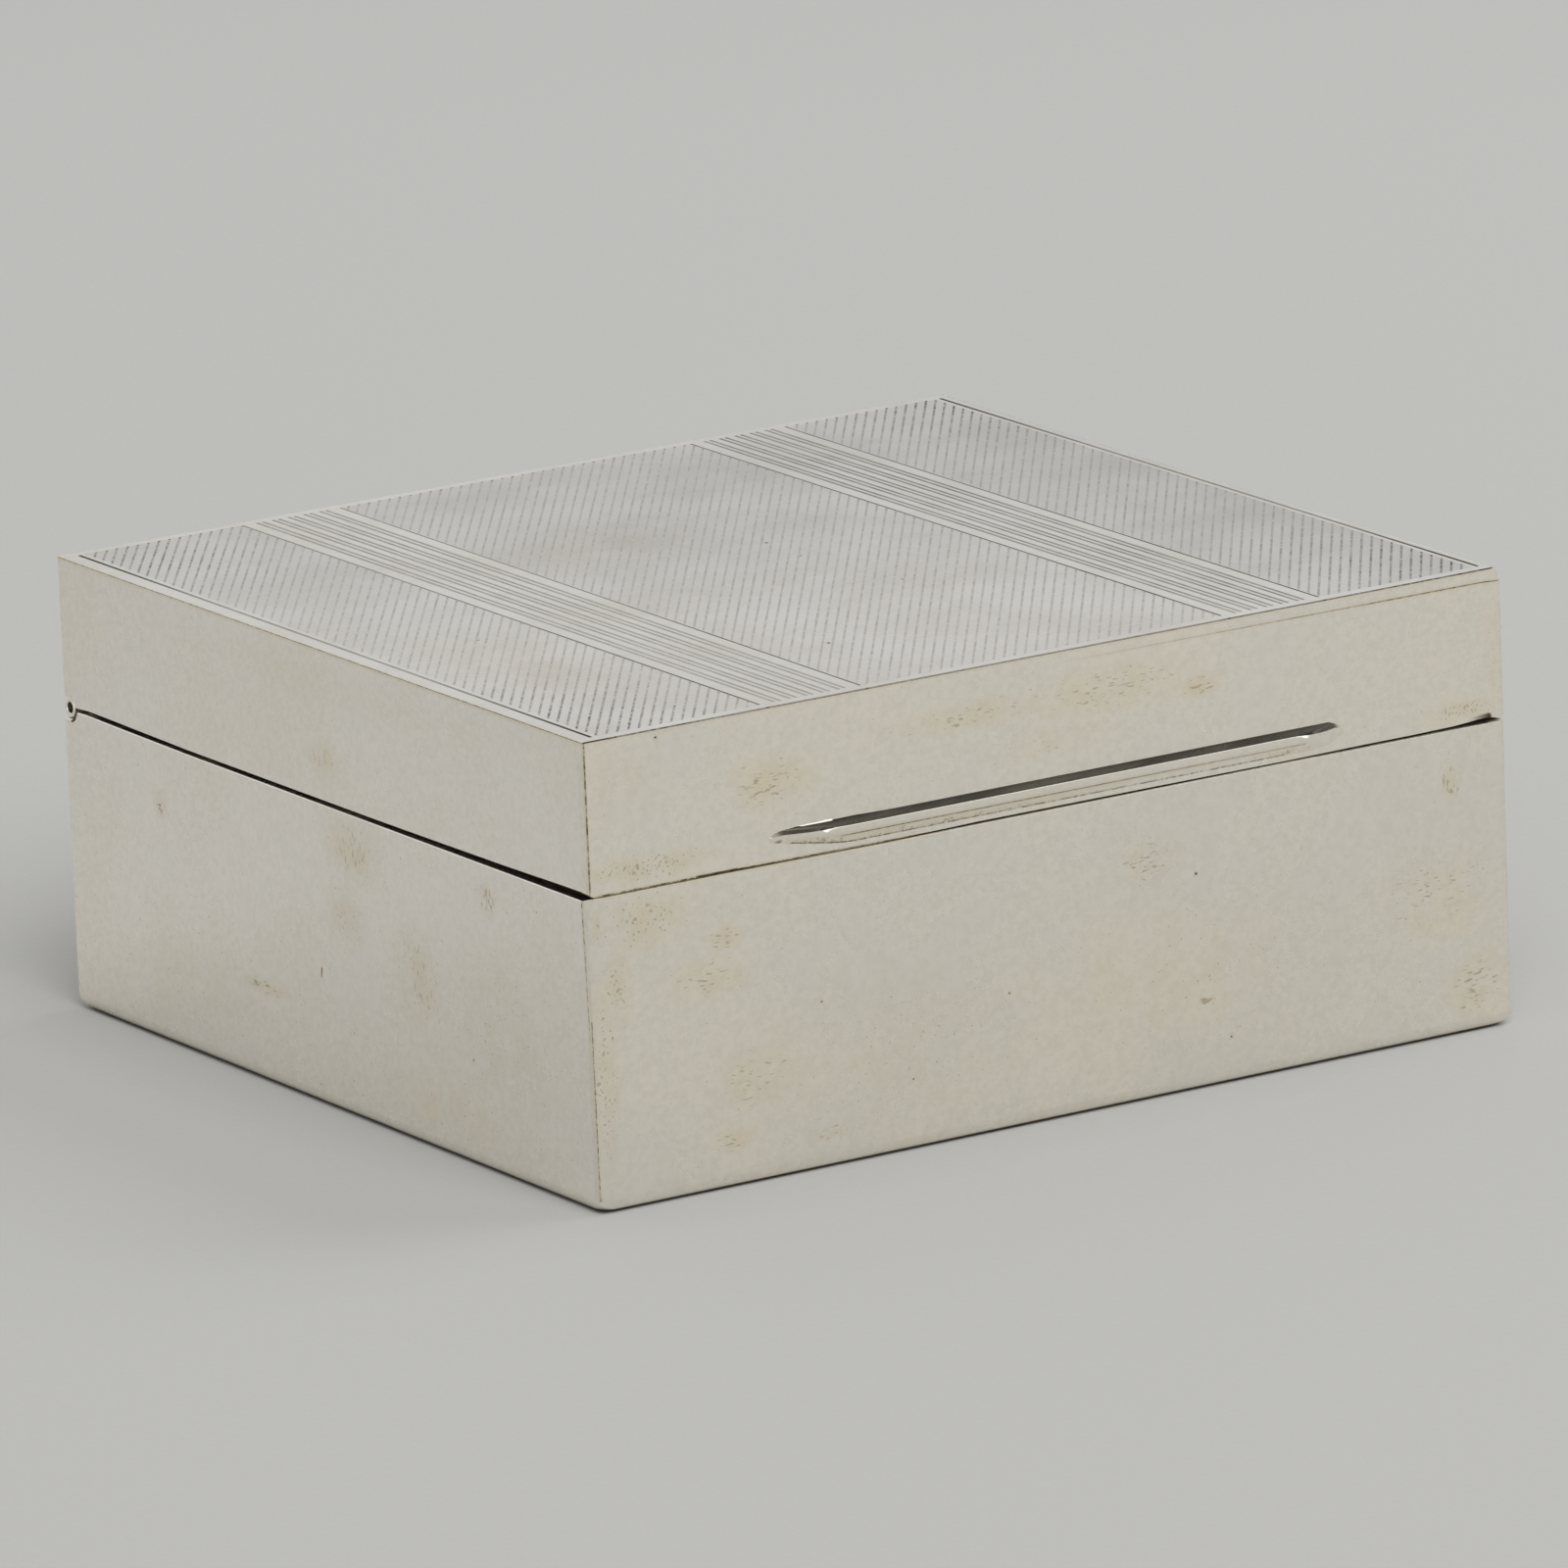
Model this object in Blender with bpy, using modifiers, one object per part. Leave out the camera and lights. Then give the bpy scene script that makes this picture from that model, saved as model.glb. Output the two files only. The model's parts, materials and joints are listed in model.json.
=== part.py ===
"""Silver table cigarette box: engine-turned lid, full-width hinge, cedar-lined base.

X runs along the front, Y from the front to the back and Z up. The origin is the
middle of the underside. Every length is in metres.
"""
import bpy
import bmesh
from math import cos, radians, sqrt, tan
from mathutils import Matrix, Vector

# Outer box
BOX_WIDTH = 0.0890
BOX_DEPTH = 0.0828
BOX_HEIGHT = 0.0391
PARTING_HEIGHT = 0.0262
PARTING_GAP = 0.0003

# Silver sheet
WALL_THICKNESS = 0.0010
TOP_THICKNESS = 0.0010
BOTTOM_THICKNESS = 0.0012
SOLDER_GAP = 0.0003
WORN_CORNER_RADIUS = 0.0003
WORN_ARRIS_RADIUS = 0.00012
FOOT_INSET = 0.0001
FOOT_EDGE_RADIUS = 0.0010
FOOT_CORNER_RADIUS = 0.0012

# Hinge
KNUCKLE_COUNT = 7
KNUCKLE_RADIUS = 0.000825
KNUCKLE_BORE_RADIUS = 0.000575
KNUCKLE_END_GAP = 0.0003
KNUCKLE_SET_IN = 0.00005
KNUCKLE_SIDES = 24
PIN_RADIUS = 0.00050
PIN_RECESS = 0.0003
PIN_SIDES = 16
LID_STOP_ANGLE = radians(95)

# Engine-turned lid top
GROOVE_WIDTH = 0.00024
ENGRAVING_MARGIN = 0.0011
FRAME_LINE_INSET = 0.0015
BAND_OFFSET = 0.0223
BAND_HALF_WIDTH = 0.0048
BAND_LINE_PITCH = 0.00155
BAND_LINE_SPREAD = 0.0003
BAND_PAIRS = 5

# Thumb-piece, a low moulding across the lid's front
THUMB_LENGTH = 0.0546
THUMB_HEIGHT = 0.0020
THUMB_PROJECTION = 0.0010
THUMB_ABOVE_PARTING = 0.00065
THUMB_ARCH = 0.0002
THUMB_NOSE_LENGTH = 0.0012
THUMB_LOWER_SWEEP = 0.0060
THUMB_LOWER_RISE = 0.00075
THUMB_UPPER_SWEEP = 0.0030
THUMB_UPPER_DROP = 0.00065
THUMB_MIDDLE_STATIONS = 6

# Cedar lining
LINING_THICKNESS = 0.0020
LINING_FLOOR_THICKNESS = 0.0015
LINING_SET_DOWN = 0.0005
LINING_EDGE_RADIUS = 0.0003
DIVIDER_THICKNESS = 0.0020
DIVIDER_SET_DOWN = 0.0030

# Cutters run past what they cut by this much
OVERRUN = 0.0010
# Points nearer together than this are one point
WELD_DISTANCE = 0.00001
# The foot's rounding takes no more than this share of the bottom plate
FOOT_ROUND_SHARE = 0.9

# Section of the thumb-piece: share of the projection, share of the height
THUMB_SECTION_SHARES = [
    (0.00, 1.00),
    (0.36, 0.88),
    (0.76, 0.80),
    (0.93, 0.77),
    (1.00, 0.70),
    (1.00, 0.50),
    (0.06, 0.00),
    (0.00, 0.00),
]
# Stations along each rounded end, as shares of the nose's length
THUMB_NOSE_SHARES = [0.00, 0.10, 0.30, 0.60, 1.00]
THUMB_TIP_SHARE = 0.30

half_width = BOX_WIDTH / 2
half_depth = BOX_DEPTH / 2
base_wall_low = BOTTOM_THICKNESS + SOLDER_GAP
base_rim = PARTING_HEIGHT - PARTING_GAP / 2
lid_rim = PARTING_HEIGHT + PARTING_GAP / 2
lid_wall_top = BOX_HEIGHT - TOP_THICKNESS - SOLDER_GAP
side_wall_end = half_depth - WALL_THICKNESS - SOLDER_GAP

# The hinge lies in the back wall at the parting. The two back walls stop short of
# it, and their outer arrises meet when the lid has turned by the stop angle.
axis_inset = KNUCKLE_RADIUS + KNUCKLE_SET_IN
hinge_axis = Vector((0, half_depth - axis_inset, PARTING_HEIGHT))
wall_set_off = axis_inset * tan(LID_STOP_ANGLE / 2)


def clear_scene():
    for obj in list(bpy.data.objects):
        bpy.data.objects.remove(obj, do_unlink=True)


def new_collection(name):
    collection = bpy.data.collections.new(name)
    bpy.context.scene.collection.children.link(collection)
    return collection


def new_material(name, colour, roughness, metallic):
    material = bpy.data.materials.new(name)
    material.use_nodes = True
    shader = material.node_tree.nodes["Principled BSDF"]
    shader.inputs["Base Color"].default_value = (*colour, 1.0)
    shader.inputs["Roughness"].default_value = roughness
    shader.inputs["Metallic"].default_value = metallic
    material.diffuse_color = (*colour, 1.0)
    return material


def add_mesh_object(name, bm, location, collection, material=None, parent=None):
    """Turn a bmesh into an object whose origin is at the given world location."""
    bmesh.ops.recalc_face_normals(bm, faces=bm.faces)
    mesh = bpy.data.meshes.new(name)
    bm.to_mesh(mesh)
    bm.free()
    obj = bpy.data.objects.new(name, mesh)
    collection.objects.link(obj)
    obj.location = Vector(location)
    if material:
        mesh.materials.append(material)
    if parent:
        obj.parent = parent
        obj.location = Vector(location) - parent.location
    return obj


def block_mesh(size):
    bm = bmesh.new()
    bmesh.ops.create_cube(bm, size=1)
    bmesh.ops.scale(bm, vec=Vector(size), verts=bm.verts)
    return bm


def add_block(name, low, high, collection, material=None, parent=None):
    low = Vector(low)
    high = Vector(high)
    centre = (low + high) / 2
    return add_mesh_object(name, block_mesh(high - low), centre, collection, material, parent)


def add_plan_block(name, outline, low, high, collection, material, parent=None):
    """Extrude a plan outline, given in world X and Y, from one height to another."""
    curve = bpy.data.curves.new(name, "CURVE")
    curve.dimensions = "2D"
    curve.fill_mode = "BOTH"
    curve.extrude = (high - low) / 2
    spline = curve.splines.new("POLY")
    spline.points.add(len(outline) - 1)
    for point, (x, y) in zip(spline.points, outline):
        point.co = (x, y, 0, 1)
    spline.use_cyclic_u = True
    guide = bpy.data.objects.new(name, curve)
    collection.objects.link(guide)
    evaluated = guide.evaluated_get(bpy.context.evaluated_depsgraph_get())
    mesh = bpy.data.meshes.new_from_object(evaluated)
    bm = bmesh.new()
    bm.from_mesh(mesh)
    bmesh.ops.remove_doubles(bm, verts=bm.verts, dist=WELD_DISTANCE)
    bpy.data.objects.remove(guide, do_unlink=True)
    return add_mesh_object(name, bm, (0, 0, (low + high) / 2), collection, material, parent)


def soften(obj, radius, segments=2):
    """Round every sharp edge of an object."""
    bevel = obj.modifiers.new("Soft edges", "BEVEL")
    bevel.width = radius
    bevel.segments = segments
    bevel.limit_method = "ANGLE"
    bevel.use_clamp_overlap = True


def round_edges(bm, radius, segments, chosen):
    """Round the edges for which chosen(edge) is true."""
    edges = [edge for edge in bm.edges if chosen(edge)]
    bmesh.ops.bevel(
        bm,
        geom=edges,
        offset=radius,
        segments=segments,
        profile=0.5,
        affect="EDGES",
        clamp_overlap=True,
    )


def is_upright(edge):
    a, b = edge.verts
    return abs(a.co.z - b.co.z) > abs(a.co.x - b.co.x) + abs(a.co.y - b.co.y)


def lies_low(edge):
    """True for the outline of the underside."""
    bottom = min(vert.co.z for vert in edge.link_faces[0].verts)
    level = all(abs(vert.co.z - bottom) < FOOT_INSET for vert in edge.verts)
    steep = any(abs(face.normal.z) < cos(radians(45)) for face in edge.link_faces)
    flat = any(face.normal.z < -cos(radians(45)) for face in edge.link_faces)
    return level and steep and flat


def cut(obj, cutter):
    boolean = obj.modifiers.new("Cut by " + cutter.name, "BOOLEAN")
    boolean.operation = "DIFFERENCE"
    boolean.solver = "EXACT"
    boolean.object = cutter


def as_cutter(obj):
    obj.hide_render = True
    obj.display_type = "WIRE"
    return obj


def shade_round(obj):
    obj.data.shade_smooth()
    obj.data.set_sharp_from_angle(angle=radians(40))


def add_bottom_plate(collection, material):
    """The underside, with its edges and corners filed round."""
    width = BOX_WIDTH - FOOT_INSET - FOOT_INSET
    depth = BOX_DEPTH - FOOT_INSET - FOOT_INSET
    bm = block_mesh((width, depth, BOTTOM_THICKNESS))
    round_edges(bm, FOOT_CORNER_RADIUS, 4, is_upright)
    bm.normal_update()
    edge_radius = min(FOOT_EDGE_RADIUS, BOTTOM_THICKNESS * FOOT_ROUND_SHARE)
    round_edges(bm, edge_radius, 4, lies_low)
    return add_mesh_object(
        "base_bottom_plate", bm, (0, 0, BOTTOM_THICKNESS / 2), collection, material
    )


def add_cross_wall(name, side, low, high, collection, material, parent=None):
    """A wall across the full width: side is -1 at the front and 1 at the back."""
    bm = block_mesh((BOX_WIDTH, WALL_THICKNESS, high - low))
    outer = side * WALL_THICKNESS / 2

    def is_outer_corner(edge):
        return is_upright(edge) and abs(edge.verts[0].co.y - outer) < WALL_THICKNESS / 2

    round_edges(bm, WORN_CORNER_RADIUS, 3, is_outer_corner)
    centre = (0, side * (half_depth - WALL_THICKNESS / 2), (low + high) / 2)
    return add_mesh_object(name, bm, centre, collection, material, parent)


def add_base_walls(collection, material, hinge_cutter):
    """The front and back walls lap over the ends of the side walls."""
    add_cross_wall("base_front_wall", -1, base_wall_low, base_rim, collection, material)
    back_top = hinge_axis.z - wall_set_off
    add_cross_wall("base_back_wall", 1, base_wall_low, back_top, collection, material)
    for name, side in (("base_left_wall", -1), ("base_right_wall", 1)):
        centre = side * (half_width - WALL_THICKNESS / 2)
        wall = add_block(
            name,
            (centre - WALL_THICKNESS / 2, -side_wall_end, base_wall_low),
            (centre + WALL_THICKNESS / 2, side_wall_end, base_rim),
            collection,
            material,
        )
        cut(wall, hinge_cutter)


def add_lid_walls(collection, material, hinge_cutter, hinge):
    """The lid's front corners are mitred, and its back wall laps the side walls."""
    relief = SOLDER_GAP * cos(radians(45))
    inner_x = half_width - WALL_THICKNESS
    inner_y = half_depth - WALL_THICKNESS
    front_outline = [
        (-half_width + relief, -half_depth),
        (half_width - relief, -half_depth),
        (inner_x - relief, -inner_y),
        (-inner_x + relief, -inner_y),
    ]
    add_plan_block(
        "lid_front_wall", front_outline, lid_rim, lid_wall_top, collection, material, hinge
    )
    for name, side in (("lid_left_wall", -1), ("lid_right_wall", 1)):
        side_outline = [
            (side * half_width, -half_depth + relief),
            (side * half_width, side_wall_end),
            (side * inner_x, side_wall_end),
            (side * inner_x, -inner_y + relief),
        ]
        wall = add_plan_block(
            name, side_outline, lid_rim, lid_wall_top, collection, material, hinge
        )
        cut(wall, hinge_cutter)
    back_low = hinge_axis.z + wall_set_off
    add_cross_wall("lid_back_wall", 1, back_low, lid_wall_top, collection, material, hinge)


def engraved_line_places():
    """X of each straight engraved line: two frame lines and two reeded bands."""
    places = [FRAME_LINE_INSET - half_width, half_width - FRAME_LINE_INSET]
    for band_centre in (-BAND_OFFSET, BAND_OFFSET):
        places.append(band_centre - BAND_HALF_WIDTH)
        places.append(band_centre + BAND_HALF_WIDTH)
        for pair in range(BAND_PAIRS):
            pair_centre = band_centre + (pair - (BAND_PAIRS - 1) / 2) * BAND_LINE_PITCH
            places.append(pair_centre - BAND_LINE_SPREAD)
            places.append(pair_centre + BAND_LINE_SPREAD)
    return places


def add_groove_cutter(collection):
    """Square bars on edge, half sunk in the lid's top, cut the V-shaped lines."""
    bar = GROOVE_WIDTH * cos(radians(45))
    length = BOX_DEPTH - ENGRAVING_MARGIN - ENGRAVING_MARGIN
    on_edge = Matrix.Rotation(radians(45), 3, "Y")
    bm = bmesh.new()
    for place in engraved_line_places():
        one = bmesh.ops.create_cube(bm, size=1)["verts"]
        bmesh.ops.scale(bm, vec=Vector((bar, length, bar)), verts=one)
        bmesh.ops.rotate(bm, cent=Vector(), matrix=on_edge, verts=one)
        bmesh.ops.translate(bm, vec=Vector((place, 0, 0)), verts=one)
    return as_cutter(add_mesh_object("groove_cutter", bm, (0, 0, BOX_HEIGHT), collection))


def add_top_plate(collection, material, groove_cutter, hinge):
    """The engine-turned plate laid over the lid's walls."""
    bm = block_mesh((BOX_WIDTH, BOX_DEPTH, TOP_THICKNESS))
    round_edges(bm, WORN_CORNER_RADIUS, 3, is_upright)
    centre = (0, 0, BOX_HEIGHT - TOP_THICKNESS / 2)
    plate = add_mesh_object("lid_top_plate", bm, centre, collection, material, hinge)
    soften(plate, WORN_ARRIS_RADIUS, 1)
    cut(plate, groove_cutter)
    return plate


def eased(share):
    """Rise smoothly from 0 to 1 as the share goes from 0 to 1."""
    share = min(max(share, 0), 1)
    return share * share * (3 - 2 * share)


def thumb_section(x):
    """Points of the thumb-piece's cross-section at one place along the front."""
    half_length = THUMB_LENGTH / 2
    from_tip = half_length - abs(x)
    arch = THUMB_ARCH * (1 - (x / half_length) ** 2)
    bottom = THUMB_LOWER_RISE * (1 - eased(from_tip / THUMB_LOWER_SWEEP))
    drop = THUMB_UPPER_DROP * (1 - eased(from_tip / THUMB_UPPER_SWEEP))
    top = THUMB_HEIGHT - THUMB_ARCH + arch - drop
    nose = min(from_tip / THUMB_NOSE_LENGTH, 1)
    swell = THUMB_TIP_SHARE + (1 - THUMB_TIP_SHARE) * sqrt(1 - (1 - nose) ** 2)
    reach = (THUMB_PROJECTION - SOLDER_GAP) * swell
    return [
        Vector((x, -out * reach, bottom + up * (top - bottom)))
        for out, up in THUMB_SECTION_SHARES
    ]


def thumb_places():
    """X of each section, from the left tip to the right tip."""
    half_length = THUMB_LENGTH / 2
    sweep = [half_length - share * THUMB_NOSE_LENGTH for share in THUMB_NOSE_SHARES]
    straight = sweep[-1]
    steps = THUMB_MIDDLE_STATIONS
    inner = [straight * (1 - (step + 1) / steps) for step in range(steps)]
    ends = [half_length - THUMB_UPPER_SWEEP, half_length - THUMB_LOWER_SWEEP]
    right = sorted(set(sweep + inner + ends))
    left = [-place for place in reversed(right) if place > 0]
    return left + right


def add_thumb_piece(collection, material, hinge):
    """A low bar lofted through sections that shrink towards its rounded ends."""
    bm = bmesh.new()
    rings = []
    for place in thumb_places():
        rings.append([bm.verts.new(point) for point in thumb_section(place)])
    for one, other in zip(rings, rings[1:]):
        for i in range(len(one)):
            j = (i + 1) % len(one)
            bm.faces.new((one[i], one[j], other[j], other[i]))
    bm.faces.new(rings[0])
    bm.faces.new(rings[-1])
    seat = (0, -half_depth - SOLDER_GAP, PARTING_HEIGHT + THUMB_ABOVE_PARTING)
    return add_mesh_object("thumb_piece", bm, seat, collection, material, hinge)


def add_tube(name, centre, length, outer, inner, sides, collection, material, parent=None):
    """A tube along X, turned from its wall's section."""
    bm = bmesh.new()
    corners = [
        (outer, length / 2),
        (outer, -length / 2),
        (inner, -length / 2),
        (inner, length / 2),
    ]
    verts = [bm.verts.new((radius, 0, along)) for radius, along in corners]
    for i in range(len(verts)):
        bm.edges.new((verts[i], verts[(i + 1) % len(verts)]))
    tube = add_mesh_object(name, bm, centre, collection, material, parent)
    tube.rotation_euler = (0, radians(90), 0)
    screw = tube.modifiers.new("Turned", "SCREW")
    screw.axis = "Z"
    screw.angle = radians(360)
    screw.steps = sides
    screw.render_steps = sides
    screw.use_merge_vertices = True
    screw.merge_threshold = WELD_DISTANCE
    return tube


def add_hinge(collection, silver, steel, hinge):
    """Seven knuckles in line, the outer two on the lid, turning on one pin."""
    gaps = KNUCKLE_END_GAP * (KNUCKLE_COUNT - 1)
    length = (BOX_WIDTH - gaps) / KNUCKLE_COUNT
    for index in range(KNUCKLE_COUNT):
        on_lid = index % 2 == 0
        owner = "lid" if on_lid else "base"
        x = -half_width + length / 2 + index * (length + KNUCKLE_END_GAP)
        add_tube(
            f"{owner}_hinge_knuckle_{index + 1}",
            (x, hinge_axis.y, hinge_axis.z),
            length,
            KNUCKLE_RADIUS,
            KNUCKLE_BORE_RADIUS,
            KNUCKLE_SIDES,
            collection,
            silver,
            hinge if on_lid else None,
        )
    bm = bmesh.new()
    bmesh.ops.create_cone(
        bm,
        cap_ends=True,
        segments=PIN_SIDES,
        radius1=PIN_RADIUS,
        radius2=PIN_RADIUS,
        depth=BOX_WIDTH - PIN_RECESS - PIN_RECESS,
    )
    pin = add_mesh_object("hinge_pin", bm, hinge_axis, collection, steel)
    pin.rotation_euler = (0, radians(90), 0)
    shade_round(pin)


def add_hinge_cutter(collection):
    """Room for the knuckles in the side walls' back ends."""
    bm = bmesh.new()
    bmesh.ops.create_cone(
        bm,
        cap_ends=True,
        segments=KNUCKLE_SIDES,
        radius1=wall_set_off,
        radius2=wall_set_off,
        depth=BOX_WIDTH + OVERRUN + OVERRUN,
    )
    cutter = add_mesh_object("hinge_room_cutter", bm, hinge_axis, collection)
    cutter.rotation_euler = (0, radians(90), 0)
    return as_cutter(cutter)


def add_lining(collection, cedar):
    """Cedar floor, four panels and a divider, dropped in loose."""
    inner_x = half_width - WALL_THICKNESS - SOLDER_GAP
    inner_y = half_depth - WALL_THICKNESS - SOLDER_GAP
    floor_low = BOTTOM_THICKNESS + SOLDER_GAP
    floor_top = floor_low + LINING_FLOOR_THICKNESS
    panel_low = floor_top + SOLDER_GAP
    panel_top = base_rim - LINING_SET_DOWN
    clear_y = inner_y - LINING_THICKNESS
    between_y = clear_y - SOLDER_GAP
    half_divider = DIVIDER_THICKNESS / 2
    pieces = [
        ("lining_floor", (-inner_x, -inner_y, floor_low), (inner_x, inner_y, floor_top)),
        ("lining_front_panel", (-inner_x, -inner_y, panel_low), (inner_x, -clear_y, panel_top)),
        ("lining_back_panel", (-inner_x, clear_y, panel_low), (inner_x, inner_y, panel_top)),
        (
            "lining_left_panel",
            (-inner_x, -between_y, panel_low),
            (-inner_x + LINING_THICKNESS, between_y, panel_top),
        ),
        (
            "lining_right_panel",
            (inner_x - LINING_THICKNESS, -between_y, panel_low),
            (inner_x, between_y, panel_top),
        ),
        (
            "lining_divider",
            (-half_divider, -between_y, panel_low),
            (half_divider, between_y, panel_top - DIVIDER_SET_DOWN),
        ),
    ]
    for name, low, high in pieces:
        panel = add_block(name, low, high, collection, cedar)
        soften(panel, LINING_EDGE_RADIUS, 1)


def main():
    clear_scene()
    parts = new_collection("cigarette_box")
    cutters = new_collection("cutters")
    silver = new_material("silver", (0.72, 0.70, 0.64), 0.30, 1.0)
    cedar = new_material("cedar", (0.42, 0.20, 0.10), 0.65, 0.0)
    steel = new_material("steel_pin", (0.50, 0.49, 0.46), 0.35, 1.0)

    hinge = bpy.data.objects.new("lid_hinge_axis", None)
    hinge.location = hinge_axis
    parts.objects.link(hinge)

    hinge_cutter = add_hinge_cutter(cutters)
    groove_cutter = add_groove_cutter(cutters)
    add_bottom_plate(parts, silver)
    add_base_walls(parts, silver, hinge_cutter)
    add_lid_walls(parts, silver, hinge_cutter, hinge)
    add_top_plate(parts, silver, groove_cutter, hinge)
    add_thumb_piece(parts, silver, hinge)
    add_hinge(parts, silver, steel, hinge)
    add_lining(parts, cedar)


main()
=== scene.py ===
import json
from math import atan2, cos, pi, radians, sin, sqrt

import bmesh
import bpy
from mathutils import Matrix, Vector


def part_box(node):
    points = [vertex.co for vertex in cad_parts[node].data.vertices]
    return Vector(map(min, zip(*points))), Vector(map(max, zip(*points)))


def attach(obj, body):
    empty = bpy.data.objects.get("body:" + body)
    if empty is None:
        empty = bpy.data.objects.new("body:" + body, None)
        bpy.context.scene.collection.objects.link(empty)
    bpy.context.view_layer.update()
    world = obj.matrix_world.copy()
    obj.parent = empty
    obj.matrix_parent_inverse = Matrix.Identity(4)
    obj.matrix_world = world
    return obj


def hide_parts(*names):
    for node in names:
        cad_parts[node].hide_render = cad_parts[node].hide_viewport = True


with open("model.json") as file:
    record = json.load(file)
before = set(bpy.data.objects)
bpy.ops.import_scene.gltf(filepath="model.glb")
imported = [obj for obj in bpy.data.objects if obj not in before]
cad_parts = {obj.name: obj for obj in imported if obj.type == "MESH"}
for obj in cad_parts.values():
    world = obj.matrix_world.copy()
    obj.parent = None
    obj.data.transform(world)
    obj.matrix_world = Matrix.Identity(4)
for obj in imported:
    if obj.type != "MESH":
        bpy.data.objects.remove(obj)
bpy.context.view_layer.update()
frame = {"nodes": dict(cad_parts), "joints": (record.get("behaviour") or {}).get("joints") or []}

# Sizes of the box, read from the frame. All lengths are in metres.
plate_low, plate_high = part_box("lid_top_plate")
LEFT, FRONT = plate_low.x, plate_low.y
RIGHT, BACK = plate_high.x, plate_high.y
TOP = plate_high.z
PLATE_UNDERSIDE = plate_low.z
WIDTH = RIGHT - LEFT
DEPTH = BACK - FRONT
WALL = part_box("base_front_wall")[1].y - FRONT
FOOT_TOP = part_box("base_bottom_plate")[1].z
PARTING = (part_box("base_front_wall")[1].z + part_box("lid_front_wall")[0].z) / 2
BACK_EDGE_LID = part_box("lid_back_wall")[0].z
HINGE = Vector(frame["joints"][0]["pos_m"])
KNUCKLE_RADIUS = (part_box("base_hinge_knuckle_2")[1].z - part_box("base_hinge_knuckle_2")[0].z) / 2
PIN_RADIUS = (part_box("hinge_pin")[1].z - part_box("hinge_pin")[0].z) / 2

# The camera that matches the photograph
LENS = 366.81
SENSOR = 36
VIEW_AZIMUTH = -0.56144
VIEW_ELEVATION = 0.25207
VIEW_ROLL = -0.03801
VIEW_DISTANCE = 1.3281
VIEW_AIM = Vector((0, 0, 0.01954))
AIM_SIDE = -0.00021
AIM_UP = -0.00044

# Worn edges of the sheet
LID_RIM_ROUND = 0.00006
BASE_RIM_ROUND = 0.00013
ARRIS_ROUND = 0.00010
CORNER_ROUND = 0.00011
PAST_ROUND = 1.1
SAME_PLACE = 0.00002
WORN_CORNER_ROUND = 0.00075
RIGHT_CORNER_ROUND = 0.00055
RIGHT_ARRIS_ROUND = 0.00075
LOW_CORNER_SHARE = 0.20
FOOT_INSET = 0.0010
FOOT_CORNER_ROUND = 0.0028
# Below this height the foot is painted dark: a painted contact shadow with grime
FOOT_SHADE_AND_GRIME_HEIGHT = 0.00024
FOOT_LEVELS = 10
FOOT_CORNER_STEPS = 10
FRONT_PARTING = 0.00014
RIGHT_END_LENGTH = 0.00062
RIGHT_END_DROP = 0.00010
RIM_REACH = 0.00045
NOTCH_STEPS = 8
LID_TOP_SEGMENTS = 5
WORN_BALL_SHARE = 1.4
FOOT_CORNER_POWER = 0.8
# Angles in degrees below which a piece is shaded smooth
SMOOTH_BELOW = 35
WALL_SMOOTH_BELOW = 40
LID_TOP_SMOOTH_BELOW = 14
FOOT_SMOOTH_BELOW = 50
THUMB_SMOOTH_BELOW = 32
TUBE_SMOOTH_BELOW = 40
# The rims aren't quite true. In front: distance from the left, base rim and lid rim over the parting
FRONT_RIMS = [
    (0.0012, 0.00003, 0.00005),
    (0.0100, 0.00002, 0.00005),
    (0.0112, 0.00003, 0.00011),
    (0.0138, 0.00002, 0.00010),
    (0.0220, -0.00006, -0.00003),
    (0.0280, -0.00010, -0.00005),
    (0.0370, -0.00007, 0.00007),
    (0.0500, -0.00007, 0.00006),
    (0.0670, -0.00007, 0.00002),
    (0.0750, -0.00007, 0.00007),
]
# From the right end: how far the lid's bent corner stands above its rim
LIFTED_CORNER = [
    (0.0090, 0.0),
    (0.0052, 0.00005),
    (0.0038, 0.00012),
    (0.0026, 0.00021),
    (0.0017, 0.00022),
    (0.0011, 0.00014),
    (0.0008, 0.00005),
]
# On the left: distance from the back and height over the parting
LEFT_LID_START = 0.00010
LEFT_LID_RIM = [
    (0.0040, 0.00024),
    (0.0080, 0.00021),
    (0.0200, 0.00007),
    (0.0500, 0.00010),
    (0.0600, 0.00016),
    (0.0700, 0.00024),
    (0.0790, 0.00038),
]
LEFT_LID_END = 0.00040
LEFT_LID_CUT = 0.00045
LEFT_BASE_START = -0.00020
LEFT_BASE_RIM = [(0.0035, -0.00014), (0.0100, -0.00022), (0.0200, -0.00030), (0.0790, -0.00030)]
LEFT_BASE_END = -0.00030

# Engine turning on the lid's top
FIELD_PITCH = 0.00083
FIELD_SLANT = 0.71
FIELD_GROOVE_DEPTH = 0.000036
FIELD_CROWN = 0.000014
FIELD_SINK = 0.000020
STEPS_PER_PITCH = 8
LAND_SHARE = 0.75
BORDER = 0.0011
FRAME_LINE_INSET = 0.0015
FRAME_LINE_WIDTH = 0.00030
FIELD_INSET = 0.0021
BAND_OFFSET = 0.0223
BAND_HALF_WIDTH = 0.0048
BAND_PITCH = 0.00155
BAND_SPREAD = 0.00029
BAND_PAIRS = 5
BAND_LINE_WIDTH = 0.00030
BAND_BORDER_WIDTH = 0.00020
FIELD_CLEARANCE = 0.00018
CUTTER_HEIGHT = 0.0010
WELD_DISTANCE = 0.000001
CUT_TOLERANCE = 0.000002
CUT_LIMIT = 0.0003
CUT_MARGIN = 0.0010
# How far a face points up, or to the back, where its finish changes
CUT_UP = 0.3
GROOVE_UP = 0.985
EDGE_UP = 0.92
FRONT_BACKWARD = -0.38

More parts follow.
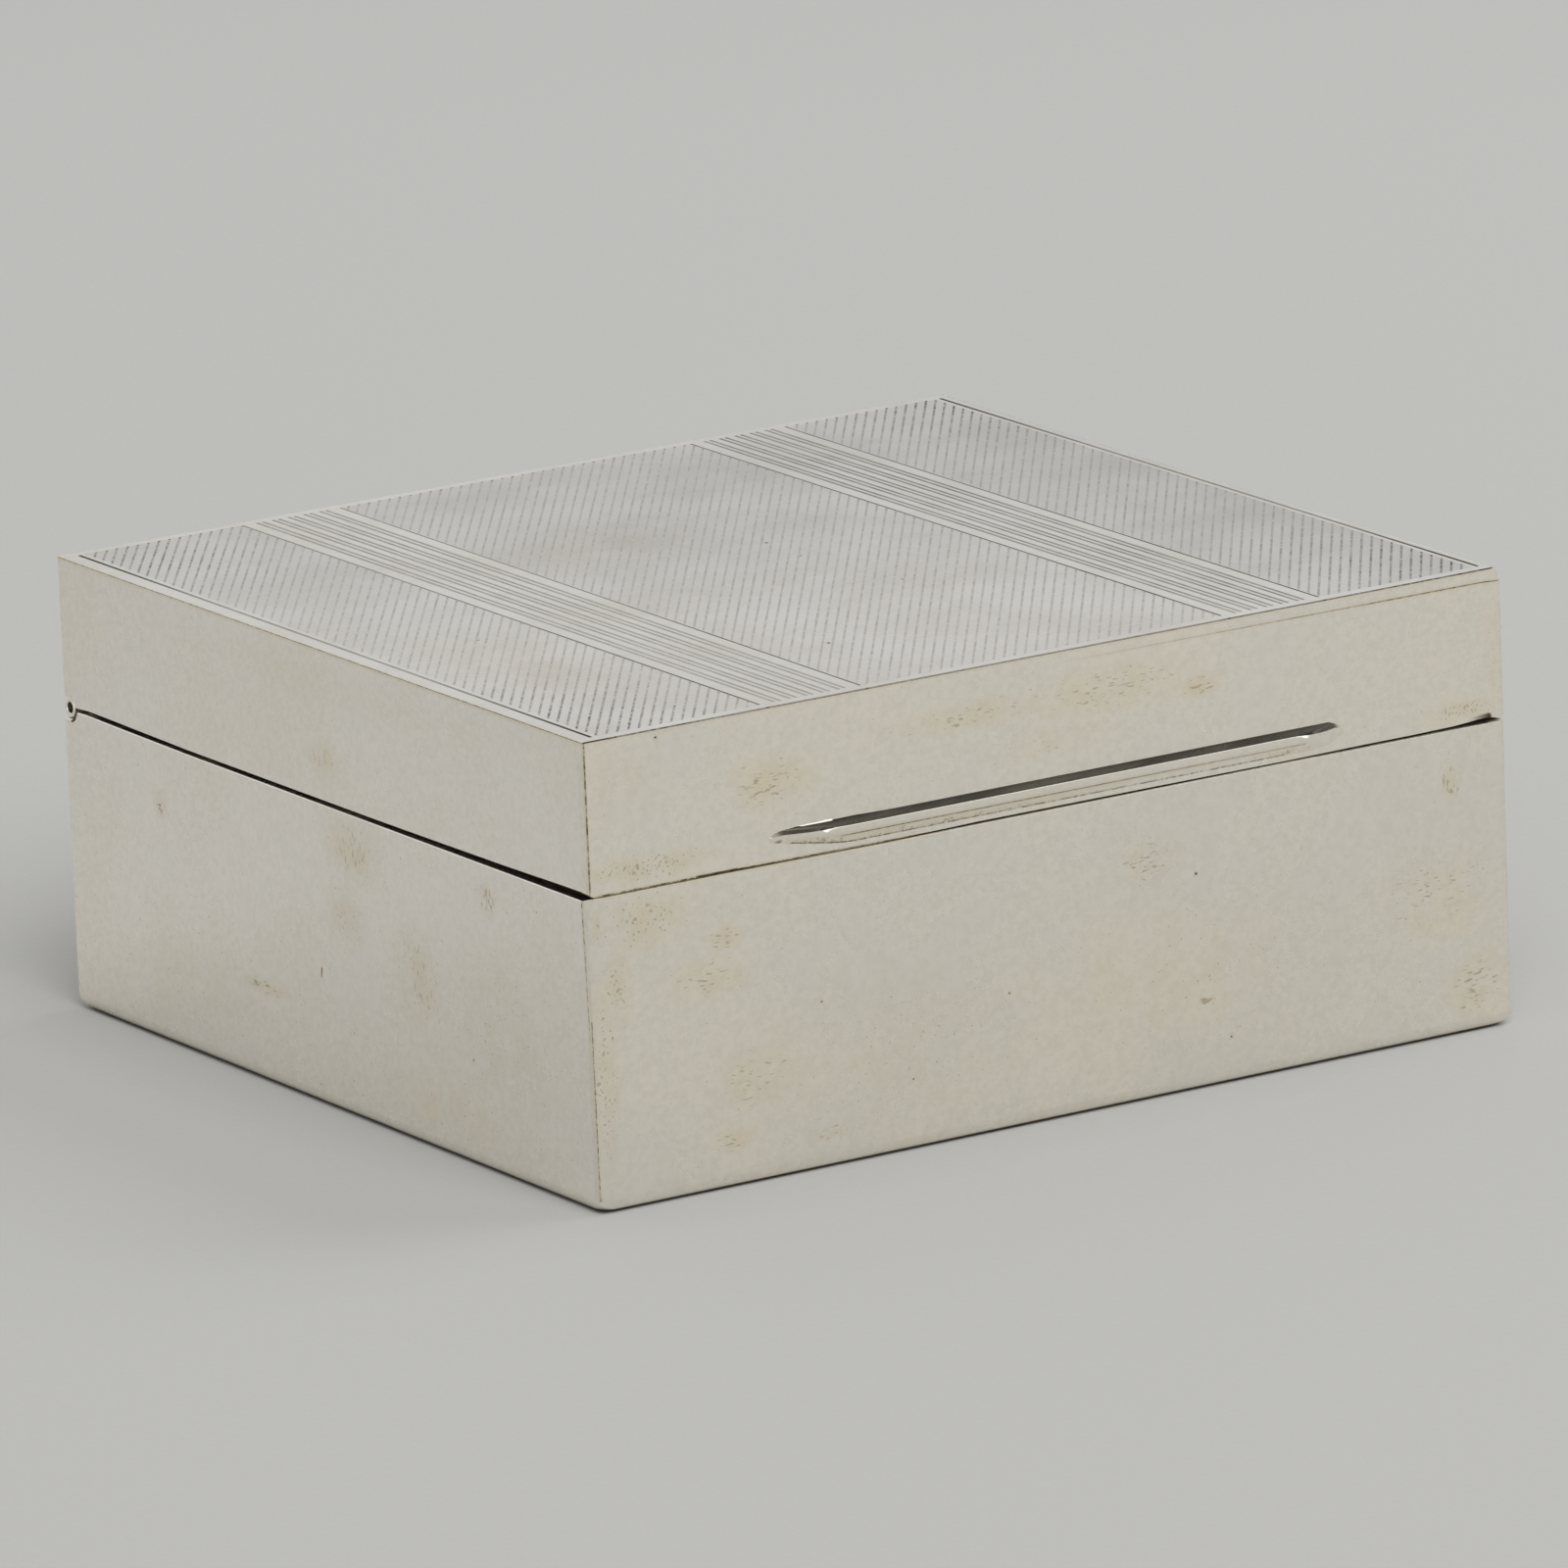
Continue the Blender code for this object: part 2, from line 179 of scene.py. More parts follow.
# Thumb-piece. A pair is for its left end and its right end
THUMB_HALVES = (0.0273, 0.0284)
THUMB_LOW = 0.02683
THUMB_HIGH = 0.02878
THUMB_REACH = 0.00098
THUMB_BOW = 0.75
THUMB_HOLLOW_OUT = 0.74
THUMB_HOLLOW_UP = 0.00008
THUMB_LINE_SHARE = 0.405
THUMB_NOSES = (0.0036, 0.0038)
THUMB_TAPERS = (0.0050, 0.0046)
THUMB_TOP_SHARE = 0.79
THUMB_LOWER_SWEEPS = (0.0078, 0.0030)
THUMB_LOWER_RISES = (0.00090, 0.00050)
THUMB_UPPER_SWEEPS = (0.0010, 0.0012)
THUMB_UPPER_DROPS = (0.00014, 0.00028)
THUMB_FILLET = 0.00017
THUMB_FILLET_BEGIN = 0.0016
THUMB_FILLET_START = 0.0060
THUMB_FILLET_END = 0.0120
THUMB_FILLET_REACH = 0.00003
THUMB_FILLET_UNEVEN = 0.25
THUMB_FILLET_WAVES = (5300, 3100)
THUMB_PINCH = 1.5
THUMB_END = 0.9999
THUMB_STATIONS = 90
# Section of the thumb-piece: share of the reach, share of the height
THUMB_SECTION_SHARES = [
    (0.00, 1.00),
    (0.05, 0.975),
    (0.13, 0.955),
    (0.45, 0.905),
    (0.80, 0.855),
    (0.92, 0.835),
    (0.985, 0.805),
    (1.00, 0.765),
    (1.00, 0.460),
    (0.97, 0.415),
    (0.93, 0.385),
    (0.90, 0.350),
    (0.80, 0.110),
    (0.72, 0.050),
    (0.00, 0.000),
]

# Hinge
KNUCKLE_COUNT = 7
KNUCKLE_GAP = 0.00008
KNUCKLE_BORE = 0.000555
KNUCKLE_LIP = 0.00048
KNUCKLE_CHAMFER = 0.00006
KNUCKLE_SIDES = 40
NOTCH_CLEARANCE = 0.00024
SIDE_NOTCH_CLEARANCE = 0.00042
BACK_EDGE_BASE = HINGE.z - KNUCKLE_RADIUS - NOTCH_CLEARANCE
PIN_DEPTH = 0.00120
SOLDER_INSET = 0.0003
# Where the solder meets the knuckle, in degrees from upright and from level
SOLDER_FROM_UPRIGHT = 50
SOLDER_FROM_LEVEL = 40

# Tones of the room that the silver mirrors, from the floor's edge to overhead
SKY_SHARES = [0.00, 0.14, 0.28, 0.45, 0.65, 0.85, 1.00]
SKY_TONES = [0.56, 0.70, 0.80, 0.72, 0.55, 0.46, 0.42]
# A dark side, a bright side and a window: direction, where it fades in, tone
SIDES = [
    ((0.515, -0.47, 0.71), (0.80, 0.90), 0.03),
    ((0.515, -0.82, 0.16), (0.92, 0.985), 1.15),
    ((-0.78, -0.50, 0.36), (0.965, 0.985), 2.2),
]

# How fine the flecks of tarnish are along X, Y and Z
FLECKS = (3400.0, 3400.0, 3400.0)
STREAK_UPRIGHT = (4600.0, 4600.0, 1300.0)
STREAK_LEVEL = (1250.0, 1250.0, 5200.0)
# How fine the other patterns are, in cells to a metre
TINT_SCALE = 420.0
SEAM_SCALE = 1800.0
CLOUD_SCALE = 85.0
MOTTLE_SCALE = 1700.0
SWELL_SCALE = 34.0
LEVEL_HAIRLINES = (260.0, 260.0, 2600.0)
SLANTED_HAIRLINES = (2400.0, 180.0, 180.0)
HAIRLINE_TURN = (0.6, 0.4, 0.7)
CUT_PATCH_SCALE = 240.0
CUT_BREAK_SCALE = 2700.0
CUT_ROUGH_SCALE = 900.0
BAND_RUB_SCALE = 150.0
CEDAR_RINGS = (24.0, 980.0, 980.0)
CEDAR_FIBRES = (260.0, 6500.0, 6500.0)
CEDAR_STREAKS = (12.0, 90.0, 90.0)
DRAWN_STEEL = (200.0, 9000.0, 9000.0)
PAPER_SCALE = 1400.0


class Wires:
    """Adds nodes to a tree and wires them up."""

    def __init__(self, tree):
        self.tree = tree

    def add(self, kind, inputs=None, **settings):
        node = self.tree.nodes.new(kind)
        for key, value in settings.items():
            setattr(node, key, value)
        for key, value in (inputs or {}).items():
            self.feed(node.inputs[key], value)
        return node

    def feed(self, socket, value):
        for one in value if isinstance(value, list) else [value]:
            if isinstance(one, bpy.types.NodeSocket):
                self.tree.links.new(one, socket)
            else:
                socket.default_value = one

    def maths(self, operation, *values, clamp=False):
        inputs = dict(enumerate(values))
        return self.add("ShaderNodeMath", inputs, operation=operation, use_clamp=clamp).outputs[0]

    def plus(self, one, other, **options):
        return self.maths("ADD", one, other, **options)

    def minus(self, one, other):
        return self.maths("SUBTRACT", one, other)

    def times(self, one, other):
        return self.maths("MULTIPLY", one, other)

    def over(self, one, other, **options):
        return self.maths("DIVIDE", one, other, **options)

    def size_of(self, value):
        return self.maths("ABSOLUTE", value)

    def greater(self, one, other, **options):
        return self.maths("MAXIMUM", one, other, **options)

    def vectors(self, operation, *values):
        node = self.add("ShaderNodeVectorMath", dict(enumerate(values)), operation=operation)
        return node.outputs["Value" if operation in ("LENGTH", "DOT_PRODUCT") else "Vector"]

    def between(self, value, low, high, to_low=0.0, to_high=1.0, smooth=True):
        kind = "SMOOTHSTEP" if smooth else "LINEAR"
        inputs = dict(enumerate((value, low, high, to_low, to_high)))
        return self.add("ShaderNodeMapRange", inputs, interpolation_type=kind).outputs["Result"]

    def vector(self, **parts):
        return self.add("ShaderNodeCombineXYZ", parts).outputs[0]

    def parts(self, vector):
        return self.add("ShaderNodeSeparateXYZ", {0: vector}).outputs

    def shape(self, kind, inputs=None, **settings):
        """What a geometry node makes."""
        return self.add("GeometryNode" + kind, inputs, **settings).outputs[0]

    def moved(self, geometry, **way):
        return self.shape("Transform", {"Geometry": geometry, **way})

    def joined(self, pieces):
        return self.shape("JoinGeometry", {"Geometry": pieces})

    def blend(self, share, one, other):
        """Colour between one and other."""
        node = self.add("ShaderNodeMix", {"Factor": share}, data_type="RGBA")
        first, second = [socket for socket in node.inputs if socket.type == "RGBA"]
        self.feed(first, one)
        self.feed(second, other)
        return [socket for socket in node.outputs if socket.type == "RGBA"][0]

    def noise(self, vector, scale, detail=3.0, roughness=0.55):
        """Noise of one scale, or drawn out by a scale for each axis."""
        if isinstance(scale, tuple):
            vector, scale = self.vectors("MULTIPLY", vector, scale), 1.0
        inputs = {"Vector": vector, "Scale": scale, "Detail": detail, "Roughness": roughness}
        return self.add("ShaderNodeTexNoise", inputs).outputs["Fac"]

    def use(self, group, inputs):
        kind = "GeometryNodeGroup" if self.tree.type == "GEOMETRY" else "ShaderNodeGroup"
        return self.add(kind, inputs, node_tree=group)


def new_group(name, kind, output_kind, outputs, **inputs):
    """A node group. Its inputs are given by their kind, each with its default.

    Returns the group, its wires, its inputs and its outputs.
    """
    tree = bpy.data.node_groups.new(name, kind)
    for socket, defaults in inputs.items():
        for label, default in defaults.items():
            made = tree.interface.new_socket(name=label, in_out="INPUT", socket_type="NodeSocket" + socket)
            if default is not None:
                made.default_value = default
    for label in outputs:
        tree.interface.new_socket(name=label, in_out="OUTPUT", socket_type="NodeSocket" + output_kind)
    wires = Wires(tree)
    return tree, wires, wires.add("NodeGroupInput").outputs, wires.add("NodeGroupOutput").inputs


def shader_group(name, *masks, **inputs):
    return new_group(name, "ShaderNodeTree", "Float", masks, **inputs)


def geometry_group(name, **inputs):
    return new_group(name, "GeometryNodeTree", "Geometry", ("Geometry",), **inputs)


# Shader groups: where stains, seams, pits and hairlines lie

def make_patch_group():
    """A tarnished place: a soft tint, and small flecks drawn out by the streaks' scales."""
    tree, w, given, out = shader_group(
        "tarnished place",
        "Tint", "Flecks", "Spread",
        Vector={"Place": None, "Centre": None, "Reach": (0.01, 0.01, 0.01), "Streaks": FLECKS},
        Float={"Cover": 0.5},
    )
    away = w.vectors("DIVIDE", w.vectors("SUBTRACT", given["Place"], given["Centre"]), given["Reach"])
    soft = w.between(w.vectors("LENGTH", away), 1.0, 0.15)
    covered = w.times(soft, given["Cover"])
    w.feed(out["Spread"], covered)
    streaked = w.vectors("MULTIPLY", given["Place"], given["Streaks"])
    broken = w.noise(streaked, 1.0, 2.0, 0.5)
    edge = w.minus(0.76, w.times(covered, 0.20))
    w.feed(out["Flecks"], w.between(broken, edge, w.plus(edge, 0.09)))
    uneven = w.between(w.noise(given["Place"], TINT_SCALE, 3.0), 0.30, 0.65, 0.35, 1.0)
    w.feed(out["Tint"], w.times(covered, uneven))
    return tree


def make_seam_group():
    """A thin dark line from one point to another, used for dirt along seams and for painted shade in gaps."""
    tree, w, given, out = shader_group(
        "seam line",
        "Mask",
        Vector={"Place": None, "Start": None, "End": None},
        Float={"Half Width": 0.0001, "Fade": 0.0, "Breaks": 0.4},
    )
    run = w.vectors("SUBTRACT", given["End"], given["Start"])
    offset = w.vectors("SUBTRACT", given["Place"], given["Start"])
    reached = w.vectors("DOT_PRODUCT", offset, run)
    along = w.over(reached, w.vectors("DOT_PRODUCT", run, run), clamp=True)
    scaled = w.add("ShaderNodeVectorMath", {0: run, "Scale": along}, operation="SCALE").outputs["Vector"]
    apart = w.vectors("LENGTH", w.vectors("SUBTRACT", offset, scaled))
    line = w.between(apart, given["Half Width"], w.times(given["Half Width"], 0.4))
    fading = w.minus(1.0, w.times(along, given["Fade"]))
    broken = w.between(w.noise(given["Place"], SEAM_SCALE, 5.0, 0.8), 0.40, 0.60)
    kept = w.minus(1.0, w.times(given["Breaks"], broken))
    w.feed(out["Mask"], w.times(w.times(line, fading), kept))
    return tree


def make_pit_group():
    """Small dark specks scattered over a surface."""
    tree, w, given, out = shader_group(
        "pits", "Mask", Vector={"Place": None}, Float={"Cells": 500.0, "Size": 0.2, "Share": 0.2}
    )
    cells = w.add("ShaderNodeTexVoronoi", {"Vector": given["Place"], "Scale": given["Cells"]})
    pick = w.add("ShaderNodeSeparateColor", {0: cells.outputs["Color"]}).outputs
    size = w.times(given["Size"], w.plus(0.35, pick["Green"]))
    dot = w.between(cells.outputs["Distance"], size, w.times(size, 0.45))
    chosen = w.maths("LESS_THAN", pick["Red"], given["Share"])
    w.feed(out["Mask"], w.times(dot, chosen))
    return tree


def make_handling_group():
    """Polished silver handled for years: cloudy tone, fine mottling, hairlines and soft unevenness."""
    tree, w, given, out = shader_group(
        "handled silver", "Cloud", "Mottle", "Hairlines", "Swell", Vector={"Place": None}
    )
    w.feed(out["Cloud"], w.noise(given["Place"], CLOUD_SCALE, 4.0, 0.6))
    w.feed(out["Mottle"], w.noise(given["Place"], MOTTLE_SCALE, 4.0, 0.75))
    slanted = w.add("ShaderNodeMapping", {"Vector": given["Place"], "Rotation": HAIRLINE_TURN}).outputs[0]
    level = w.noise(given["Place"], LEVEL_HAIRLINES, 2.0)
    hair = w.plus(level, w.noise(slanted, SLANTED_HAIRLINES, 2.0))
    w.feed(out["Hairlines"], w.times(hair, 0.5))
    w.feed(out["Swell"], w.noise(given["Place"], SWELL_SCALE, 2.0, 0.4))
    return tree


patch_group = make_patch_group()
seam_group = make_seam_group()
pit_group = make_pit_group()
handling_group = make_handling_group()


def new_material(name, metal=0.0):
    material = bpy.data.materials.new(name)
    material.use_nodes = True
    wires = Wires(material.node_tree)
    shader = material.node_tree.nodes["Principled BSDF"]
    shader.inputs["Metallic"].default_value = metal
    place = wires.add("ShaderNodeTexCoord").outputs["Object"]
    return material, wires, shader, place


def dress(wires, shader, colour, roughness, bump=None):
    wires.feed(shader.inputs["Base Color"], colour)
    wires.feed(shader.inputs["Roughness"], roughness)
    if bump:
        wires.feed(shader.inputs["Normal"], bump.outputs["Normal"])


def strongest(wires, masks):
    found = masks[0]
    for mask in masks[1:]:
        found = wires.greater(found, mask)
    return found


# Colours of the silver, its dirt and its painted light and shade, the cedar, the pin and the paper
# The silver is one metal, but some faces have copies of its clean colour painted lighter or darker as the
# light falls: the left side lighter, the top and its turned ground much darker
CLEAN = (0.985, 0.946, 0.861, 1)
CLEAN_LEFT_LIT = (0.998, 0.962, 0.903, 1)
CLEAN_BASE = (0.960, 0.924, 0.848, 1)
CLEAN_TOP_SHADED = (0.810, 0.787, 0.738, 1)
CLEAN_FIELD_SHADED = (0.790, 0.765, 0.726, 1)
WARM = (0.945, 0.893, 0.755, 1)
STAIN = (0.80, 0.68, 0.42, 1)
MOTTLE = (0.50, 0.455, 0.36, 1)
# Dark brown of the dirt in seams, also used for the painted shade lines in gaps
SEAM_DIRT_AND_SHADE = (0.085, 0.06, 0.03, 1)
PIT_DIRT = (0.36, 0.285, 0.17, 1)
# Painted contact shadow with grime, along the foot's lowest edge
CONTACT_SHADE_AND_GRIME = (0.125, 0.092, 0.048, 1)
# Grey painted over wide soft patches of the top, towards its right and back
DARKENED_TONE = (0.56, 0.55, 0.535, 1)
CLEAN_CUT = (0.77, 0.74, 0.69, 1)
DARKENED_CUT = (0.53, 0.515, 0.485, 1)
DIRTY_CUT = (0.06, 0.05, 0.035, 1)
CEDAR_DARK = (0.46, 0.215, 0.105, 1)
CEDAR_MIDDLE = (0.60, 0.335, 0.18, 1)
CEDAR_PALE = (0.66, 0.42, 0.25, 1)
CEDAR_FIBRE = (0.27, 0.10, 0.045, 1)
# The pin's steel, painted very dark as the shade in the bore around it
PIN_STEEL_SHADE_DARK = (0.10, 0.09, 0.075, 1)
PIN_STEEL_SHADE_PALE = (0.26, 0.24, 0.21, 1)
# The paper's tone, painted darker at the front left and lighter at the back right, as the light falls
PAPER_PAINTED_SHADE = (0.440, 0.437, 0.422, 1)
PAPER_PAINTED_LIGHT = (0.512, 0.512, 0.497, 1)
PAPER_FIBRE = (0.30, 0.30, 0.28, 1)
# How far and how strongly each kind of wear and painted shade shows
HALO_REACH = 0.00036
TINT_STRENGTH = 0.36
PIT_STRENGTH = 0.50
SEAM_STRENGTH = 0.92
PIT_CELLS = 1050.0
PIT_SIZE = 0.095
SWELL_RISE = 0.00010
WEAR_RISE = 0.000010
CEDAR_RISE = 0.00006
CORNER_DIRT = 0.42
DARKENED_CUT_SHARE = 0.9
SHADE_AND_GRIME_FADE = 1.6
MOTTLE_STRENGTH = 0.17
# What each kind of wear adds to the relief, and how much rougher the dirt and the painted shade make the
# silver
RELIEF = {"Mottle": 0.12, "Hairlines": 0.06, "Pits": -0.5, "Seams": -2.0}
ROUGHER = {"Seams": 0.3, "Tint": 0.10, "Shade And Grime": 0.4}


def seam_mask(w, place, seam, spread):
    """Where one seam lies. A spread above 1 gives the soft tint beside it."""
    start, end, half, fade, gaps = seam
    inputs = {"Start": start, "End": end, "Half Width": half * spread, "Fade": fade, "Breaks": gaps / spread}
    return w.use(seam_group, {"Place": place, **inputs}).outputs["Mask"]


def darkened_masks(w, place, darkened):
    """Where the ground is painted darker, over wide soft patches of the lid's top. Darkened places are
    (centre, reach, share).
    """
    for centre, reach, cover in darkened:
        inputs = {"Place": place, "Centre": centre, "Reach": reach, "Cover": cover}
        yield w.use(patch_group, inputs).outputs["Spread"]


def silver_material(
    name, patches=(), seams=(), clean=CLEAN, warmth=0.5, pits=0.2, rough=(0.22, 0.34), shade_and_grime=0, darkened=()
):
    """Worn silver. Below a given height it is painted dark: a painted contact shadow along the foot, with
    grime.

    Patches are (centre, reach, streaks, cover), and seams (start, end, half width, fade, breaks).
    """
    material, w, shader, place = new_material(name, 1.0)
    handled = w.use(handling_group, {"Place": place}).outputs
    warm = w.between(handled["Cloud"], 0.36, 0.66, 0.0, warmth)
    colour = w.blend(warm, clean, WARM)
    mottled = w.between(handled["Mottle"], 0.30, 0.66, MOTTLE_STRENGTH, 0.0)
    colour = w.blend(mottled, colour, MOTTLE)
    scattered = {"Place": place, "Cells": PIT_CELLS, "Size": PIT_SIZE, "Share": pits}
    pitted = w.use(pit_group, scattered).outputs["Mask"]
    tinted = None
    for centre, reach, streaks, cover in patches:
        inputs = {"Place": place, "Centre": centre, "Reach": reach, "Streaks": streaks, "Cover": cover}
        found = w.use(patch_group, inputs).outputs
        tinted = found["Tint"] if tinted is None else w.greater(tinted, found["Tint"])
        pitted = w.greater(pitted, found["Flecks"])
    if seams:
        halo = strongest(w, [seam_mask(w, place, seam, max(1.0, HALO_REACH / seam[2])) for seam in seams])
        tinted = w.greater(tinted, halo) if tinted else halo
    if tinted:
        colour = w.blend(w.times(tinted, TINT_STRENGTH), colour, STAIN)
    for mask in darkened_masks(w, place, darkened):
        colour = w.blend(mask, colour, DARKENED_TONE)
    colour = w.blend(w.times(pitted, PIT_STRENGTH), colour, PIT_DIRT)
    height = w.times(handled["Mottle"], RELIEF["Mottle"])
    height = w.plus(height, w.times(handled["Hairlines"], RELIEF["Hairlines"]))
    height = w.plus(height, w.times(pitted, RELIEF["Pits"]))
    dull = w.between(handled["Cloud"], 0.30, 0.72, rough[0], rough[1])
    if seams:
        seamed = strongest(w, [seam_mask(w, place, seam, 1.0) for seam in seams])
        # Seam lines darken with dirt, and the gap lines with painted shade
        colour = w.blend(w.times(seamed, SEAM_STRENGTH), colour, SEAM_DIRT_AND_SHADE)
        height = w.plus(height, w.times(seamed, RELIEF["Seams"]))
        dull = w.plus(dull, w.times(seamed, ROUGHER["Seams"]), clamp=True)
    if tinted:
        dull = w.plus(dull, w.times(tinted, ROUGHER["Tint"]), clamp=True)
    # Painted contact shadow with grime: the silver darkens and roughens below this height
    if shade_and_grime:
        level = w.parts(place)["Z"]
        shaded_and_caked = w.between(level, shade_and_grime, shade_and_grime * SHADE_AND_GRIME_FADE, 1.0, 0.0)
        colour = w.blend(shaded_and_caked, colour, CONTACT_SHADE_AND_GRIME)
        dull = w.plus(dull, w.times(shaded_and_caked, ROUGHER["Shade And Grime"]), clamp=True)
    swell = w.add("ShaderNodeBump", {"Strength": 1.0, "Distance": SWELL_RISE, "Height": handled["Swell"]})
    relief = {"Strength": 0.4, "Distance": WEAR_RISE, "Height": height, "Normal": swell.outputs["Normal"]}
    fine = w.add("ShaderNodeBump", relief)
    dress(w, shader, colour, dull, fine)
    return material


def groove_material(darkened):
    """The engine turning's cut lines: dark in the reeded bands and at the corners, rubbed bright mid-lid."""
    material, w, shader, place = new_material("cut line silver", 1.0)
    parts = w.parts(place)
    aside = w.size_of(parts["X"])
    to_side = w.over(aside, WIDTH / 2)
    to_edge = w.over(w.size_of(parts["Y"]), DEPTH / 2)
    corner = w.times(w.between(to_side, 0.50, 1.0), w.between(to_edge, 0.30, 1.0))
    front = w.between(parts["Y"], DEPTH / 2, -DEPTH / 4, 0.04, 0.11)
    field = w.plus(front, w.times(corner, CORNER_DIRT))
    field = w.times(field, w.between(w.noise(place, CUT_PATCH_SCALE, 3.0), 0.28, 0.62, 0.6, 1.25))
    field = w.times(field, w.between(w.noise(place, CUT_BREAK_SCALE, 3.0), 0.38, 0.60, 0.25, 1.65))
    from_band = w.size_of(w.minus(aside, BAND_OFFSET))
    in_band = w.maths("LESS_THAN", from_band, BAND_HALF_WIDTH + FIELD_CLEARANCE / 2)
    on_border = w.maths("GREATER_THAN", from_band, BAND_HALF_WIDTH - BAND_BORDER_WIDTH)
    rubbed = w.between(w.noise(place, BAND_RUB_SCALE, 3.0), 0.30, 0.65, 0.10, 0.22)
    rubbed = w.times(rubbed, w.between(parts["X"], -0.02, 0.02, 1.0, 1.9))
    bordered = w.times(on_border, w.between(parts["Y"], 0.02, -0.03, 0.3, 0.65))
    rubbed = w.plus(rubbed, bordered)
    in_frame = w.maths("GREATER_THAN", aside, WIDTH / 2 - FIELD_INSET)
    at_end = w.between(to_edge, 0.35, 0.95, 0.35, 1.0)
    dirt = w.greater(field, w.times(in_band, rubbed))
    dirt = w.greater(dirt, w.times(in_frame, at_end), clamp=True)
    clear = CLEAN_CUT
    for mask in darkened_masks(w, place, darkened):
        clear = w.blend(w.times(mask, DARKENED_CUT_SHARE), clear, DARKENED_CUT)
    uneven = w.between(w.noise(place, CUT_ROUGH_SCALE, 2.0), 0.3, 0.7, 0.34, 0.5)
    dress(w, shader, w.blend(dirt, clear, DIRTY_CUT), uneven)
    return material


def cedar_material(name, turn):
    """Planed cedar with its grain along X, or along Y when turned."""
    material, w, shader, place = new_material(name)
    turned = w.add("ShaderNodeMapping", {"Vector": place, "Rotation": (0, 0, turn)}).outputs[0]
    rings = w.noise(turned, CEDAR_RINGS, 4.0, 0.6)
    fibres = w.noise(turned, CEDAR_FIBRES, 2.0)
    broad = w.noise(turned, CEDAR_STREAKS, 2.0)
    tone = w.blend(w.between(rings, 0.36, 0.64), CEDAR_DARK, CEDAR_MIDDLE)
    tone = w.blend(w.between(broad, 0.4, 0.7, 0.0, 0.45), tone, CEDAR_PALE)
    tone = w.blend(w.between(fibres, 0.55, 0.75, 0.0, 0.35), tone, CEDAR_FIBRE)
    height = w.plus(w.times(fibres, 0.7), w.times(rings, 0.4))
    bump = w.add("ShaderNodeBump", {"Strength": 0.5, "Distance": CEDAR_RISE, "Height": height})
    dress(w, shader, tone, w.between(rings, 0.3, 0.7, 0.52, 0.7), bump)
    return material


def pin_material():
    """Drawn steel wire, painted dark for the shade inside the hinge's bore."""
    material, w, shader, place = new_material("pin steel", 1.0)
    drawn = w.noise(place, DRAWN_STEEL, 2.0)
    tone = w.blend(drawn, PIN_STEEL_SHADE_DARK, PIN_STEEL_SHADE_PALE)
    dress(w, shader, tone, w.between(drawn, 0.3, 0.7, 0.3, 0.5))
    return material


# Places of the seams, stains and painted shade lines on the box's faces
STAIN_DEPTH = 0.003


def on_front(from_left, height):
    """A place on the front."""
    return (LEFT + from_left, FRONT, height)


def on_left(from_back, height):
    """A place on the left side."""
    return (LEFT, BACK - from_back, height)


def on_top(x, y):
    """A place on the lid's top, from its middle."""
    return (x, y, TOP)


def stains(face, *rows):
    """Rows: from the face's left, height, half width, half height, streaks, cover."""
    found = []
    for across, height, wide, high, streaks, cover in rows:
        reach = (wide, STAIN_DEPTH, high) if face is on_front else (STAIN_DEPTH, wide, high)
        found.append((face(across, height), reach, streaks, cover))
    return found


def seam_lines(face, *rows):
    """Rows: from the face's left and height at the start and at the end, half width, fade, breaks."""
    return [(face(*row[:2]), face(*row[2:4]), *row[4:]) for row in rows]


def specks(face, *rows):
    """Small dark spots, as seams of hardly any length. Rows: both measures on the face, half width."""
    found = []
    for across, height, half in rows:
        at = face(across, height)
        found.append((at, (at[0] + half / 3, at[1] + half / 3, at[2]), half, 0.0, 0.0))
    return found


def shaded(start, end, half):
    """Painted shade: a dark line in a gap, without fade or breaks."""
    return start, end, half, 0.0, 0.0


PLATE_SEAM_BEND = (WIDTH - 0.0018, PLATE_UNDERSIDE - 0.00010)
END_INSET = 0.0006
NOTCH_FLOOR = HINGE.z - KNUCKLE_RADIUS - SIDE_NOTCH_CLEARANCE
notch_left, bore_left = [(LEFT + END_INSET, HINGE.y, level) for level in (NOTCH_FLOOR, HINGE.z)]
# Painted shade in the gap at the front right, on the side walls' front ends
closed_rim_shade = shaded((RIGHT - WALL, FRONT + WALL, PARTING), (RIGHT, FRONT + WALL, PARTING), 0.00070)
base_corner_seams = seam_lines(
    on_left, (DEPTH - 0.00110, PARTING - 0.0003, DEPTH - 0.00065, 0.0140, 0.00010, 0.7, 0.95)
)
lid_front_seams = seam_lines(
    on_front,
    (0.00014, PARTING, 0.00010, TOP, 0.00011, 0.0, 0.65),
    # A painted dark reflection above the lid's bent corner at the right, where its rim is dented
    (0.0874, PARTING + 0.00040, 0.0854, PARTING + 0.00024, 0.00042, 1.0, 0.0),
    (*PLATE_SEAM_BEND, 0.046, PLATE_UNDERSIDE + 0.00002, 0.00008, 0.9, 0.5),
    (*PLATE_SEAM_BEND, WIDTH, PLATE_UNDERSIDE - 0.00022, 0.00007, 0.4, 0.3),
    # Along the top's front arris: partly dirt, partly a painted dark reflection
    (0, TOP - 0.00005, WIDTH - 0.001, TOP - 0.00005, 0.00009, 0.2, 0.25),
    (0, PARTING + 0.00012, 0.010, PARTING + 0.00011, 0.00009, 0.0, 0.9),
    (0.0102, PARTING + 0.00014, 0.0140, PARTING + 0.00013, 0.00012, 0.0, 0.3),
    (0.0140, PARTING + 0.00010, 0.032, PARTING - 0.00002, 0.00009, 0.2, 0.6),
)
lid_front_seams += specks(on_front, (0.0068, 0.0384, 0.00013))
lid_left_seams = [closed_rim_shade]
